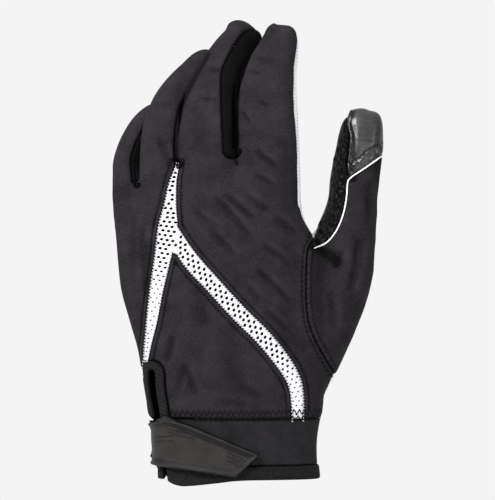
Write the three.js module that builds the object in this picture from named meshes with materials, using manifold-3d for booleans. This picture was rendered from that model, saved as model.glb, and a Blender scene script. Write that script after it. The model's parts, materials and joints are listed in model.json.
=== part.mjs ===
// A left-hand receiver glove for American football, in the shape that it has on a hand.
// Millimetres. +Z runs from the wrist opening to the fingertips, the back of the hand faces -Y,
// and the thumb points to +X. The origin is the middle of the wrist opening, at the cuff's edge.
import * as THREE from "three";
import { mergeVertices } from "three/addons/utils/BufferGeometryUtils.js";
import Module from "manifold-3d";

const wasm = await Module();
wasm.setup();

// The hand
const HAND_LENGTH = 150; // cuff edge to the root of the middle finger
const HAND_WIDTH = 89; // across the knuckles
const HAND_DEPTH = 36; // back to palm, over the knuckles
const CLOTH = 1.5; // wall of the cloth and of the palm leather
const SEAM_GAP = 0.3; // clearance between two panels that are sewn together

// The fingers: reach is the height from root to tip, width and depth are the tube's
const INDEX_REACH = 95.4;
const INDEX_WIDTH = 27.5;
const INDEX_DEPTH = 18;
const MIDDLE_REACH = 96.4;
const MIDDLE_WIDTH = 26.5;
const MIDDLE_DEPTH = 18;
const RING_REACH = 80.3;
const RING_WIDTH = 18;
const RING_DEPTH = 15.5;
const PINKY_REACH = 65;
const PINKY_WIDTH = 15;
const PINKY_DEPTH = 13.5;
const THUMB_REACH = 138.8;
const THUMB_WIDTH = 24;
const THUMB_DEPTH = 20;
const GUSSET_HALF_ANGLE = 32; // degrees of a finger's side that the gusset covers, each way
const CROTCH_SHARE = 0.4; // of the hand's depth that the gussets take between two fingers

// The cuff, its edge and its closing
const CUFF_LENGTH = 28.5;
const CUFF_WALL = 1.6;
const HEM_HEIGHT = 6.6;
const HEM_BULGE = 0.8; // how far the hem stands out of the cuff
const HEM_DIP = 2.9; // how far the hem hangs below the cuff edge beside the slit
const SLIT_WIDTH = 3;
const SLIT_LENGTH = 51.5; // cuff edge to the slit's round top
const BINDING_WIDTH = 4.4;
const BINDING_BULGE = 0.7;
const STRAP_LENGTH = 52.5; // folded edge to point
const STRAP_WIDTH = 25.5;
const STRAP_WALL = 1.8;
const STRAP_WRAP = 24; // how far the strap runs round onto the palm side
const PATCH_WALL = 0.9; // hook pad under the strap
const EDGE_WIDTH = 0.8; // pale piping on the thumb
const HOLE_SIZE = 1.1; // side of a hole in the mesh
const HOLE_PITCH = 4.1; // hole to hole along the mesh
const HOLE_ROW_GAP = 3.4; // row to row across the mesh

// How finely round things are faceted, and how they round off
const HAND_SIDES = 26;
const FINGER_SIDES = 14;
const LINE_STEPS = 2; // points to a span of a smooth line
const TIP_STEPS = [0.5, 0.84, 0.98]; // sections in a fingertip, as shares of its last span
const TIP_EXPONENT = 2.6; // how bluntly a fingertip rounds off
const BOXINESS = 2.4; // exponent of the sections: 2 is an ellipse, more is boxier
const TIP_SHARE = 0.1; // smallest half size of a section, as a share of a finger's

const radians = THREE.MathUtils.degToRad;

// Sections of the hand from the cuff edge up. up is a share of HAND_LENGTH, left and right of
// HAND_WIDTH, mid and depth of HAND_DEPTH. tilt turns the little finger's side towards the palm, and
// droop lowers a section's two ends, as a share of HAND_LENGTH, for the arc of the finger roots.
const HAND_SECTIONS = [
  { up: -0.04, left: -0.43, right: 0.425, mid: 0.0, depth: 1.14, tilt: 0.0, droop: 0.0 },
  { up: 0.0, left: -0.435, right: 0.42, mid: 0.0, depth: 1.14, tilt: 0.0, droop: 0.0 },
  { up: 0.06, left: -0.438, right: 0.411, mid: 0.0, depth: 1.11, tilt: 0.0, droop: 0.0 },
  { up: 0.12, left: -0.445, right: 0.411, mid: 0.0, depth: 1.08, tilt: 0.0, droop: 0.0 },
  { up: 0.178, left: -0.452, right: 0.425, mid: 0.0, depth: 1.08, tilt: 0.0, droop: 0.0 },
  { up: 0.205, left: -0.486, right: 0.438, mid: 0.0, depth: 1.1, tilt: 0.0, droop: 0.0 },
  { up: 0.25, left: -0.502, right: 0.447, mid: 0.02, depth: 1.12, tilt: 0.01, droop: 0.0 },
  { up: 0.31, left: -0.519, right: 0.45, mid: 0.03, depth: 1.13, tilt: 0.02, droop: 0.0 },
  { up: 0.405, left: -0.546, right: 0.45, mid: 0.04, depth: 1.12, tilt: 0.05, droop: 0.0 },
  { up: 0.5, left: -0.592, right: 0.437, mid: 0.05, depth: 1.06, tilt: 0.08, droop: 0.0 },
  { up: 0.6, left: -0.638, right: 0.42, mid: 0.07, depth: 1.0, tilt: 0.11, droop: 0.0 },
  { up: 0.72, left: -0.66, right: 0.415, mid: 0.09, depth: 0.94, tilt: 0.14, droop: 0.0 },
  { up: 0.8, left: -0.668, right: 0.408, mid: 0.1, depth: 0.88, tilt: 0.16, droop: 0.04 },
  { up: 0.86, left: -0.672, right: 0.388, mid: 0.11, depth: 0.8, tilt: 0.17, droop: 0.08 },
  { up: 0.91, left: -0.672, right: 0.365, mid: 0.12, depth: 0.68, tilt: 0.17, droop: 0.115 },
  { up: 0.96, left: -0.66, right: 0.33, mid: 0.13, depth: 0.5, tilt: 0.17, droop: 0.15 },
  { up: 1.0, left: -0.64, right: 0.29, mid: 0.14, depth: 0.34, tilt: 0.17, droop: 0.18 },
  { up: 1.015, left: -0.6, right: 0.24, mid: 0.14, depth: 0.2, tilt: 0.17, droop: 0.19 },
];

// The course of each finger from its root. up, across and deep are shares of its reach, width and
// depth of its own width and depth. roll, in degrees, turns its back towards the little finger.
const FINGERS = [
  {
    name: "index",
    root: { across: 0.171, up: 0.801, deep: 0.0 },
    reach: INDEX_REACH,
    width: INDEX_WIDTH,
    depth: INDEX_DEPTH,
    back: { from: -4, to: 180 - GUSSET_HALF_ANGLE },
    course: [
      { up: -0.1, across: -0.01, deep: 0.01, width: 1.06, depth: 1.2, roll: 0 },
      { up: 0.0, across: 0.004, deep: 0.005, width: 1.1, depth: 1.2, roll: 0 },
      { up: 0.13, across: 0.0, deep: 0.0, width: 1.05, depth: 1.1, roll: 0 },
      { up: 0.323, across: -0.012, deep: 0.01, width: 1.05, depth: 1.0, roll: 0 },
      { up: 0.473, across: -0.015, deep: 0.035, width: 1.03, depth: 1.0, roll: 2 },
      { up: 0.622, across: -0.018, deep: 0.08, width: 1.0, depth: 0.98, roll: 4 },
      { up: 0.771, across: 0.002, deep: 0.15, width: 0.86, depth: 0.94, roll: 6 },
      { up: 0.896, across: 0.036, deep: 0.22, width: 0.7, depth: 0.88, roll: 8 },
      { up: 0.99, across: 0.062, deep: 0.3, width: 0.5, depth: 0.75, roll: 8 },
    ],
  },
  {
    name: "middle",
    root: { across: -0.167, up: 0.801, deep: 0.028 },
    reach: MIDDLE_REACH,
    width: MIDDLE_WIDTH,
    depth: MIDDLE_DEPTH,
    back: { from: GUSSET_HALF_ANGLE, to: 180 - GUSSET_HALF_ANGLE },
    course: [
      { up: 0.0, across: 0.0, deep: 0.0, width: 1.0, depth: 1.2, roll: 8 },
      { up: 0.13, across: 0.0, deep: 0.01, width: 1.0, depth: 1.1, roll: 12 },
      { up: 0.32, across: 0.0, deep: 0.03, width: 1.0, depth: 1.0, roll: 18 },
      { up: 0.468, across: 0.005, deep: 0.07, width: 1.0, depth: 1.0, roll: 22 },
      { up: 0.615, across: 0.018, deep: 0.135, width: 0.97, depth: 0.98, roll: 26 },
      { up: 0.735, across: 0.045, deep: 0.21, width: 0.86, depth: 0.95, roll: 30 },
      { up: 0.82, across: 0.098, deep: 0.29, width: 0.77, depth: 0.92, roll: 32 },
      { up: 0.88, across: 0.155, deep: 0.36, width: 0.7, depth: 0.88, roll: 34 },
      { up: 0.925, across: 0.22, deep: 0.44, width: 0.64, depth: 0.82, roll: 34 },
    ],
  },
  {
    name: "ring",
    root: { across: -0.443, up: 0.801, deep: 0.19 },
    reach: RING_REACH,
    width: RING_WIDTH,
    depth: RING_DEPTH,
    back: { from: GUSSET_HALF_ANGLE, to: 180 - GUSSET_HALF_ANGLE },
    course: [
      { up: 0.0, across: 0.0, deep: 0.0, width: 1.0, depth: 1.15, roll: 24 },
      { up: 0.265, across: 0.006, deep: 0.018, width: 1.0, depth: 1.04, roll: 30 },
      { up: 0.443, across: 0.009, deep: 0.06, width: 1.0, depth: 1.0, roll: 36 },
      { up: 0.592, across: 0.024, deep: 0.13, width: 0.97, depth: 0.98, roll: 38 },
      { up: 0.721, across: 0.067, deep: 0.222, width: 0.93, depth: 0.96, roll: 40 },
      { up: 0.832, across: 0.142, deep: 0.33, width: 0.9, depth: 0.94, roll: 40 },
      { up: 0.932, across: 0.24, deep: 0.45, width: 0.86, depth: 0.9, roll: 40 },
      { up: 1.0, across: 0.345, deep: 0.56, width: 0.8, depth: 0.85, roll: 40 },
    ],
  },
  {
    name: "pinky",
    root: { across: -0.603, up: 0.753, deep: 0.333 },
    reach: PINKY_REACH,
    width: PINKY_WIDTH,
    depth: PINKY_DEPTH,
    back: { from: GUSSET_HALF_ANGLE, to: 200 },
    course: [
      { up: 0.0, across: 0.035, deep: -0.02, width: 0.96, depth: 1.15, roll: 30 },
      { up: 0.2, across: 0.006, deep: 0.012, width: 1.0, depth: 1.08, roll: 36 },
      { up: 0.366, across: -0.006, deep: 0.055, width: 1.0, depth: 1.02, roll: 40 },
      { up: 0.549, across: 0.0, deep: 0.13, width: 1.0, depth: 1.0, roll: 45 },
      { up: 0.658, across: 0.023, deep: 0.205, width: 0.98, depth: 0.98, roll: 47 },
      { up: 0.754, across: 0.06, deep: 0.29, width: 0.95, depth: 0.96, roll: 48 },
      { up: 0.854, across: 0.116, deep: 0.395, width: 0.9, depth: 0.92, roll: 48 },
      { up: 1.0, across: 0.235, deep: 0.58, width: 0.8, depth: 0.85, roll: 48 },
    ],
  },
];

const THUMB = {
  name: "thumb",
  root: { across: 0.292, up: 0.247, deep: 0.083 },
  reach: THUMB_REACH,
  width: THUMB_WIDTH,
  depth: THUMB_DEPTH,
  course: [
    { up: 0.0, across: 0.0, deep: 0.0, width: 0.95, depth: 1.2, roll: 0 },
    { up: 0.076, across: 0.018, deep: 0.007, width: 1.22, depth: 1.5, roll: 0 },
    { up: 0.223, across: 0.073, deep: 0.029, width: 1.4, depth: 1.5, roll: 0 },
    { up: 0.36, across: 0.114, deep: 0.043, width: 1.56, depth: 1.4, roll: 0 },
    { up: 0.473, across: 0.148, deep: 0.058, width: 1.5, depth: 1.3, roll: 0 },
    { up: 0.575, across: 0.18, deep: 0.068, width: 1.23, depth: 1.15, roll: 0 },
    { up: 0.668, across: 0.2, deep: 0.079, width: 1.03, depth: 1.05, roll: 0 },
    { up: 0.736, across: 0.206, deep: 0.086, width: 0.99, depth: 1.0, roll: 0 },
    { up: 0.805, across: 0.216, deep: 0.094, width: 0.97, depth: 0.95, roll: 0 },
    { up: 0.873, across: 0.227, deep: 0.101, width: 0.93, depth: 0.9, roll: 0 },
    { up: 1.0, across: 0.237, deep: 0.115, width: 0.84, depth: 0.75, roll: 0 },
  ],
};

// Outlines on the back of the hand. across is a share of HAND_WIDTH from the origin, up a share of
// HAND_LENGTH, and width, where a band has one, a share of HAND_WIDTH.
// The left leg's rows go up from the slit's top, as a share of the way to the middle finger's root
const MESH_LEFT_LEG = [
  { across: -0.33, rise: 1.046, width: 0.012 },
  { across: -0.336, rise: 0.985, width: 0.014 },
  { across: -0.36, rise: 0.893, width: 0.038 },
  { across: -0.373, rise: 0.787, width: 0.064 },
  { across: -0.385, rise: 0.68, width: 0.1 },
  { across: -0.41, rise: 0.543, width: 0.085 },
  { across: -0.443, rise: 0.391, width: 0.07 },
  { across: -0.468, rise: 0.239, width: 0.055 },
  { across: -0.492, rise: 0.117, width: 0.034 },
  { across: -0.514, rise: 0.003, width: 0.02 },
  { across: -0.56, rise: -0.066, width: 0.02 },
];
const MESH_RIGHT_LEG = [
  { across: -0.375, up: 0.8, width: 0.06 },
  { across: -0.275, up: 0.7, width: 0.085 },
  { across: -0.14, up: 0.61, width: 0.082 },
  { across: 0.0, up: 0.52, width: 0.082 },
  { across: 0.12, up: 0.45, width: 0.082 },
  { across: 0.223, up: 0.375, width: 0.08 },
  { across: 0.287, up: 0.31, width: 0.072 },
  { across: 0.305, up: 0.25, width: 0.066 },
  { across: 0.306, up: 0.18, width: 0.06 },
];
const THUMB_SEAM = [
  { across: 0.41, up: 0.8 },
  { across: 0.39, up: 0.755 },
  { across: 0.36, up: 0.716 },
  { across: 0.352, up: 0.6 },
  { across: 0.36, up: 0.516 },
  { across: 0.39, up: 0.453 },
  { across: 0.454, up: 0.38 },
  { across: 0.53, up: 0.31 },
];
// The pale piping, from the crotch of the thumb up to the cap and across the thumb
const THUMB_PIPING = [
  { across: 0.395, up: 0.728 },
  { across: 0.459, up: 0.744 },
  { across: 0.507, up: 0.776 },
  { across: 0.539, up: 0.814 },
  { across: 0.56, up: 0.855 },
  { across: 0.571, up: 0.896 },
  { across: 0.576, up: 0.934 },
  { across: 0.594, up: 0.952 },
  { across: 0.683, up: 0.988 },
  { across: 0.8, up: 1.038 },
];
const CAP_CORNER = { across: 0.545, up: 0.965 }; // where the cap's edge leaves the piping
// The slit's middle line from the cuff edge to its round top. up is a share of SLIT_LENGTH and
// width of SLIT_WIDTH.
const SLIT_LINE = [
  { across: -0.385, up: -0.12, width: 0.5 },
  { across: -0.395, up: 0.05, width: 0.5 },
  { across: -0.41, up: 0.3, width: 0.6 },
  { across: -0.44, up: 0.62, width: 0.85 },
  { across: -0.461, up: 0.82, width: 1.0 },
  { across: -0.468, up: 1.0, width: 1.0 },
];
// The strap. along is a share of STRAP_LENGTH from its folded edge, rise of STRAP_WIDTH.
const STRAP_FOLD = { across: -0.485, up: 0.019 };
const STRAP_SIDE = { low: 0.26, high: 0.95 }; // its edges where it runs round the cuff's side
const STRAP_OUTLINE = [
  { along: 0.0, rise: STRAP_SIDE.high },
  { along: 0.08, rise: 1.03 },
  { along: 0.171, rise: 1.1 },
  { along: 0.975, rise: 0.385 },
  { along: 0.996, rise: 0.355 },
  { along: 0.99, rise: 0.315 },
  { along: 0.81, rise: -0.03 },
  { along: 0.78, rise: -0.057 },
  { along: 0.74, rise: -0.055 },
  { along: 0.171, rise: 0.112 },
  { along: 0.072, rise: 0.131 },
  { along: 0.02, rise: 0.2 },
  { along: 0.0, rise: STRAP_SIDE.low },
];
const PATCH_OUTLINE = [
  { along: 0.3, rise: 0.18 },
  { along: 0.3, rise: 0.88 },
  { along: 0.88, rise: 0.36 },
  { along: 0.78, rise: 0.1 },
];
// The hem's lower edge from the slit's side round to the thumb's side: drop is a share of HEM_DIP
const HEM_EDGE = [
  { across: -0.43, drop: -1.6 },
  { across: -0.385, drop: 0.2 },
  { across: -0.33, drop: 0.95 },
  { across: -0.27, drop: 1.0 },
  { across: -0.12, drop: 0.5 },
  { across: 0.0, drop: 0.1 },
  { across: 0.2, drop: 0.0 },
  { across: 0.6, drop: 0.0 },
];

// Further out than any part of the glove
const CLEAR = HAND_LENGTH + MIDDLE_REACH;
// The angles round the hand where its back panels end on the little finger's side, and the share
// of its length above which its top closes over and its gussets start
const HAND_SEAM = 195;
const TOP_START = 0.94;
const CROTCH_START = 0.85;
const CROTCH_END = 1.1;
const DROOP_LEAN = 0.03; // how far the arc of the finger roots leans to one side
const CAP_POINTS = 3; // of the piping, that the cap's edge follows

// A closed mesh as a solid
function solid(geometry) {
  const bare = new THREE.BufferGeometry();
  bare.setAttribute("position", geometry.getAttribute("position"));
  if (geometry.index) bare.setIndex(geometry.index);
  const merged = mergeVertices(bare, 1e-4);
  return new wasm.Manifold(
    new wasm.Mesh({
      numProp: 3,
      vertProperties: merged.attributes.position.array,
      triVerts: new Uint32Array(merged.index.array),
    }),
  );
}

// The largest body of a solid, without the crumbs that a cut can leave
function mainBody(cut) {
  return cut.decompose().reduce((a, b) => (b.volume() > a.volume() ? b : a));
}

// A closed solid through rings of points that go clockwise seen from their far end
function loft(rings) {
  const sides = rings[0].length;
  const middle = (ring) =>
    ring.reduce((sum, p) => sum.add(p), new THREE.Vector3()).divideScalar(sides);
  const points = [...rings.flat(), middle(rings[0]), middle(rings[rings.length - 1])];
  const first = rings.length * sides;
  const last = first + 1;
  const top = (rings.length - 1) * sides;
  const faces = [];
  for (let j = 0; j < sides; j++) {
    const next = (j + 1) % sides;
    for (let i = 0; i + 1 < rings.length; i++) {
      const low = i * sides;
      const high = low + sides;
      faces.push(low + j, high + j, high + next, low + j, high + next, low + next);
    }
    faces.push(first, j, next, last, top + next, top + j);
  }
  const geometry = new THREE.BufferGeometry().setFromPoints(points);
  geometry.setIndex(faces);
  return solid(geometry);
}

// A point of a boxy ellipse, of half width 1, at an angle in degrees
function rounded(angle) {
  const c = Math.cos(radians(angle));
  const s = Math.sin(radians(angle));
  return {
    side: Math.sign(c) * Math.abs(c) ** (2 / BOXINESS),
    out: Math.sign(s) * Math.abs(s) ** (2 / BOXINESS),
  };
}

function fullTurn(sides) {
  return Array.from({ length: sides }, (_, i) => (360 * i) / sides);
}

function anglesBetween(from, to, sides) {
  const steps = Math.ceil(((to - from) / 360) * sides);
  return Array.from({ length: steps + 1 }, (_, i) => from + ((to - from) * i) / steps);
}

// One section of the hand, grown outwards by grow. A wedge keeps only some angles and the middle.
function handRing(row, grow, angles, wedge) {
  const left = row.left * HAND_WIDTH - grow;
  const right = row.right * HAND_WIDTH + grow;
  const middle = (left + right) / 2;
  const halfWidth = (right - left) / 2;
  const halfDepth = (row.depth * HAND_DEPTH) / 2 + grow;
  const at = (side, out) => {
    const x = middle + halfWidth * side;
    const y = row.mid * HAND_DEPTH - halfDepth * out - row.tilt * halfWidth * side;
    const z = (row.up - row.droop * side * (side - DROOP_LEAN)) * HAND_LENGTH;
    return new THREE.Vector3(x, y, row.up > TOP_START ? z + grow : z);
  };
  const ring = angles.map((angle) => {
    const p = rounded(angle);
    return at(p.side, p.out);
  });
  return wedge ? [at(0, 0), ...ring] : ring;
}

function hand(grow, angles = fullTurn(HAND_SIDES), wedge = false) {
  return loft(HAND_SECTIONS.map((row) => handRing(row, grow, angles, wedge)));
}

// The centre lines and section sizes of a finger, with extra sections where its tip rounds off
function fingerStations(finger) {
  const root = new THREE.Vector3(
    finger.root.across * HAND_WIDTH,
    finger.root.deep * HAND_DEPTH,
    finger.root.up * HAND_LENGTH,
  );
  const curve = new THREE.CatmullRomCurve3(
    finger.course.map(
      (row) =>
        new THREE.Vector3(
          root.x + row.across * finger.reach,
          root.y + row.deep * finger.reach,
          root.z + row.up * finger.reach,
        ),
    ),
  );
  const spans = finger.course.length - 1;
  const tipStart = spans - 1;
  const steps = finger.course.map((_, i) => i).slice(0, spans);
  steps.push(...TIP_STEPS.map((share) => tipStart + share));
  return steps.map((step) => {
    const i = Math.min(Math.floor(step), spans - 1);
    const blend = (key) =>
      THREE.MathUtils.lerp(finger.course[i][key], finger.course[i + 1][key], step - i);
    const intoTip = Math.max(0, step - tipStart);
    const round = (1 - intoTip ** TIP_EXPONENT) ** (1 / TIP_EXPONENT);
    return {
      centre: curve.getPoint(step / spans),
      along: curve.getTangent(step / spans),
      halfWidth: (blend("width") * finger.width * round) / 2,
      halfDepth: (blend("depth") * finger.depth * round) / 2,
      least: (finger.depth * TIP_SHARE) / 2,
      roll: radians(blend("roll")),
      intoTip,
    };
  });
}

function fingerRing(station, grow, angles, wedge) {
  const { centre, along, least, roll, intoTip } = station;
  const front = new THREE.Vector3(0, -1, 0);
  const out = front.clone().addScaledVector(along, -front.dot(along)).normalize();
  const side = new THREE.Vector3().crossVectors(along, out);
  const rolledOut = out.clone().multiplyScalar(Math.cos(roll));
  rolledOut.addScaledVector(side, -Math.sin(roll));
  const rolledSide = side.clone().multiplyScalar(Math.cos(roll));
  rolledSide.addScaledVector(out, Math.sin(roll));
  const halfWidth = Math.max(station.halfWidth + grow, least);
  const halfDepth = Math.max(station.halfDepth + grow, least);
  const middle = centre.clone().addScaledVector(along, grow * intoTip);
  const ring = angles.map((angle) => {
    const p = rounded(angle);
    return middle
      .clone()
      .addScaledVector(rolledSide, halfWidth * p.side)
      .addScaledVector(rolledOut, halfDepth * p.out);
  });
  return wedge ? [middle, ...ring] : ring;
}

function tube(finger, grow, angles = fullTurn(FINGER_SIDES), wedge = false) {
  return loft(fingerStations(finger).map((s) => fingerRing(s, grow, angles, wedge)));
}

// The space over part of a finger's or the hand's round, from the middle line out past the wall
function fingerWedge(finger, from, to) {
  return tube(finger, CLOTH, anglesBetween(from, to, FINGER_SIDES), true);
}

// The same for the hand, with more room beside the thumb's root
function handWedge(from, to) {
  const angles = anglesBetween(from, to, HAND_SIDES);
  const thumbSide = box([0, CLEAR], [-CLEAR, CLEAR], [0, FINGERS[0].root.up * HAND_LENGTH + CLOTH]);
  return union([
    hand(CLOTH, angles, true).subtract(crotchCore),
    hand(HAND_DEPTH / 2, angles, true).intersect(thumbSide),
  ]);
}

// Outline points on the back of the hand, in millimetres
function onHand(rows, grow = 0) {
  return rows.map((row) => ({
    x: row.across * HAND_WIDTH,
    z: row.up * HAND_LENGTH,
    width: row.width === undefined ? 0 : row.width * HAND_WIDTH + 2 * grow,
  }));
}

// A smooth line through points, with steps points to each span
function smooth(points, steps) {
  const curve = new THREE.CatmullRomCurve3(
    points.map((p) => new THREE.Vector3(p.x, p.width ?? 0, p.z)),
  );
  return curve
    .getPoints((points.length - 1) * steps)
    .map((p) => ({ x: p.x, z: p.z, width: p.y }));
}

// An extruded outline in X and Z, between two depths
function prism(outline, near = -CLEAR, far = CLEAR) {
  const shape = new THREE.Shape(outline.map((p) => new THREE.Vector2(p.x, p.z)));
  const geometry = new THREE.ExtrudeGeometry(shape, { depth: far - near, bevelEnabled: false });
  geometry.rotateX(Math.PI / 2).translate(0, far, 0);
  return solid(geometry);
}

// A band of changing width along a line
function band(line, near, far) {
  const normals = line.map((p, i) => {
    const before = line[Math.max(i - 1, 0)];
    const after = line[Math.min(i + 1, line.length - 1)];
    const length = Math.hypot(after.x - before.x, after.z - before.z);
    return { x: (after.z - before.z) / length, z: (before.x - after.x) / length };
  });
  const edge = (sign) =>
    line.map((p, i) => ({
      x: p.x + (sign * normals[i].x * p.width) / 2,
      z: p.z + (sign * normals[i].z * p.width) / 2,
    }));
  return prism([...edge(1), ...edge(-1).reverse()], near, far);
}

function box(x, y, z) {
  const geometry = new THREE.BoxGeometry(x[1] - x[0], y[1] - y[0], z[1] - z[0]);
  geometry.translate((x[0] + x[1]) / 2, (y[0] + y[1]) / 2, (z[0] + z[1]) / 2);
  return solid(geometry);
}

function above(z) {
  return box([-CLEAR, CLEAR], [-CLEAR, CLEAR], [z, 2 * CLEAR]);
}

const union = (parts) => wasm.Manifold.union(parts);

// A solid with a seam's clearance all round it
function widened(space) {
  const steps = [-SEAM_GAP, SEAM_GAP];
  const moves = steps.flatMap((d) => [
    [d, 0, 0],
    [0, d, 0],
    [0, 0, d],
  ]);
  return union([space, ...moves.map((move) => space.translate(move))]);
}

// The whole skin of the hand, fingers and thumb above the cuff
const outside = union([hand(0), tube(THUMB, 0), ...FINGERS.map((f) => tube(f, 0))]);
const inside = union([hand(-CLOTH), tube(THUMB, -CLOTH), ...FINGERS.map((f) => tube(f, -CLOTH))]);
const skin = outside.subtract(inside).intersect(above(CUFF_LENGTH + SEAM_GAP));

// How deep the cuts for the slit and for the mesh reach from the back of the hand
const SLIT_CUT = [-CLEAR, -0.1 * HAND_DEPTH];
const MESH_CUT = [-CLEAR, 0.6 * HAND_DEPTH];

function slitLine(grow) {
  return smooth(
    SLIT_LINE.map((row) => ({
      x: row.across * HAND_WIDTH,
      z: row.up * (SLIT_LENGTH - SLIT_WIDTH / 2),
      width: row.width * SLIT_WIDTH + 2 * grow,
    })),
    LINE_STEPS,
  );
}

function slitBand(grow) {
  const line = slitLine(grow);
  const top = line[line.length - 1];
  const circle = new THREE.Shape();
  circle.absarc(top.x, top.z, top.width / 2, 0, 2 * Math.PI);
  const disc = circle.getPoints(4).slice(0, -1);
  return union([
    band(line, ...SLIT_CUT),
    prism(disc.map((p) => ({ x: p.x, z: p.y })), ...SLIT_CUT),
  ]);
}

const slit = slitBand(0);
const bindingZone = slitBand(BINDING_WIDTH);
const bindingRoom = slitBand(BINDING_WIDTH + SEAM_GAP);

// The mesh's left leg in shares of HAND_LENGTH, as the other outlines are
const leftLeg = MESH_LEFT_LEG.map((row) => ({
  ...row,
  up: (SLIT_LENGTH + row.rise * (HAND_LENGTH - SLIT_LENGTH)) / HAND_LENGTH,
}));
const meshLegs = (grow) =>
  [leftLeg, MESH_RIGHT_LEG].map((rows) => smooth(onHand(rows, grow), LINE_STEPS));

function meshZone(grow) {
  return union(meshLegs(grow).map((line) => band(line, ...MESH_CUT)));
}

// A block through the mesh's rows of holes, one for each hole
function meshHoles() {
  const holes = [];
  for (const line of meshLegs(0)) {
    let travelled = 0;
    for (let i = 0; i + 1 < line.length; i++) {
      const a = line[i];
      const b = line[i + 1];
      const length = Math.hypot(b.x - a.x, b.z - a.z);
      for (; travelled < length; travelled += HOLE_PITCH) {
        const t = travelled / length;
        const width = THREE.MathUtils.lerp(a.width, b.width, t) - 2 * HOLE_SIZE;
        const rows = Math.floor(width / HOLE_ROW_GAP) + 1;
        if (width < 0) continue;
        for (let row = 0; row < rows; row++) {
          const off = (row - (rows - 1) / 2) * HOLE_ROW_GAP;
          const hole = new THREE.BoxGeometry(HOLE_SIZE, CLEAR, HOLE_SIZE);
          hole.rotateY(Math.atan2(a.z - b.z, b.x - a.x));
          hole.translate(
            a.x + (b.x - a.x) * t + (off * (a.z - b.z)) / length,
            MESH_CUT[1] - CLEAR / 2 - HAND_DEPTH / 2,
            a.z + (b.z - a.z) * t + (off * (b.x - a.x)) / length,
          );
          holes.push(solid(hole));
        }
      }
      travelled -= length;
    }
  }
  return union(holes);
}

// The thumb's part of the skin, to the right of its seam
function thumbZone(shift) {
  const seam = smooth(onHand(THUMB_SEAM), LINE_STEPS).map((p) => ({ x: p.x + shift, z: p.z }));
  return prism([
    { x: CLEAR, z: seam[seam.length - 1].z },
    { x: CLEAR, z: 2 * CLEAR },
    { x: seam[0].x, z: 2 * CLEAR },
    ...seam,
  ]);
}

const pipingLine = smooth(onHand(THUMB_PIPING), LINE_STEPS);
const capCorner = onHand([CAP_CORNER])[0];

// In front of the thumb's middle layer, moved back by shift
function thumbFront(shift) {
  const middle = fingerStations(THUMB).map((s) => new THREE.Vector2(s.centre.y + shift, s.centre.z));
  const low = new THREE.Vector2(middle[0].x, 0);
  const high = new THREE.Vector2(middle[middle.length - 1].x, CLEAR);
  const shape = new THREE.Shape([
    new THREE.Vector2(-CLEAR, 0),
    low,
    ...middle,
    high,
    new THREE.Vector2(-CLEAR, CLEAR),
  ]);
  const geometry = new THREE.ExtrudeGeometry(shape, { depth: CLEAR, bevelEnabled: false });
  return solid(geometry.rotateX(Math.PI / 2).rotateZ(Math.PI / 2));
}

// Above the piping's upper stretch, all round the thumb
function capZone(lift) {
  const upper = pipingLine.slice(-((CAP_POINTS - 1) * LINE_STEPS + 1));
  return prism([
    { x: capCorner.x - THUMB_WIDTH, z: capCorner.z + lift },
    { x: capCorner.x, z: capCorner.z + lift },
    ...upper.map((p) => ({ x: p.x, z: p.z + lift })),
    { x: CLEAR, z: upper[upper.length - 1].z + lift },
    { x: CLEAR, z: 2 * CLEAR },
    { x: capCorner.x - THUMB_WIDTH, z: 2 * CLEAR },
  ]);
}

// The thumb's back panel: to the right of the piping and in front of the middle layer
function thumbBackZone(grow) {
  const zone = prism([
    { x: pipingLine[0].x - CLEAR, z: 0 },
    { x: CLEAR, z: 0 },
    { x: CLEAR, z: pipingLine[pipingLine.length - 1].z },
    ...pipingLine.map((p) => ({ x: p.x - grow, z: p.z + grow })).reverse(),
    { x: pipingLine[0].x - CLEAR, z: pipingLine[0].z + grow },
  ]);
  return zone.intersect(thumbFront(grow));
}

function pipingZone(grow) {
  const line = pipingLine.map((p) => ({ ...p, width: EDGE_WIDTH + 2 * grow }));
  return band(line).intersect(thumbFront(0));
}

// The strap and its pad
function onStrap(rows) {
  const fold = onHand([STRAP_FOLD])[0];
  return rows.map((row) => ({
    x: fold.x + row.along * STRAP_LENGTH,
    z: fold.z + row.rise * STRAP_WIDTH,
  }));
}

const strapInside = 2 * SEAM_GAP + PATCH_WALL;
const strapLow = onStrap([{ along: 0, rise: STRAP_SIDE.low }])[0];
const strapHigh = onStrap([{ along: 0, rise: STRAP_SIDE.high }])[0];
const strapSide = box([-CLEAR, strapLow.x + HAND_DEPTH / 4], [0, CLEAR], [strapLow.z, strapHigh.z]);
const strapPalm = box([-CLEAR, strapLow.x + STRAP_WRAP], [0, CLEAR], [strapLow.z, strapHigh.z]);
const strapFront = prism(
  [
    { x: -CLEAR, z: strapLow.z },
    { x: -CLEAR, z: strapHigh.z },
    ...onStrap(STRAP_OUTLINE),
  ].reverse(),
  -CLEAR,
  0,
);

// Above the hem's lower edge
function hemZone() {
  const edge = HEM_EDGE.map((row) => ({ x: row.across * HAND_WIDTH, z: -row.drop * HEM_DIP }));
  const line = smooth(edge, LINE_STEPS);
  return prism([
    ...line,
    { x: CLEAR, z: 0 },
    { x: CLEAR, z: HEM_HEIGHT },
    { x: -CLEAR, z: HEM_HEIGHT },
    { x: -CLEAR, z: line[0].z },
  ]);
}

// Panels
const thumbSkin = skin.intersect(thumbZone(SEAM_GAP));
const handSkin = skin.subtract(thumbZone(0));

// The middle layer of the hand's top end, which belongs to the gussets between the fingers
const crotchRows = HAND_SECTIONS.filter((row) => row.up > CROTCH_START);
crotchRows.push({ ...crotchRows[crotchRows.length - 1], up: CROTCH_END });
const crotchDepth = CROTCH_SHARE * crotchRows[0].depth;
const crotchCore = loft(
  crotchRows.map((row) => handRing({ ...row, depth: crotchDepth }, 0, fullTurn(HAND_SIDES))),
);

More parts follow.
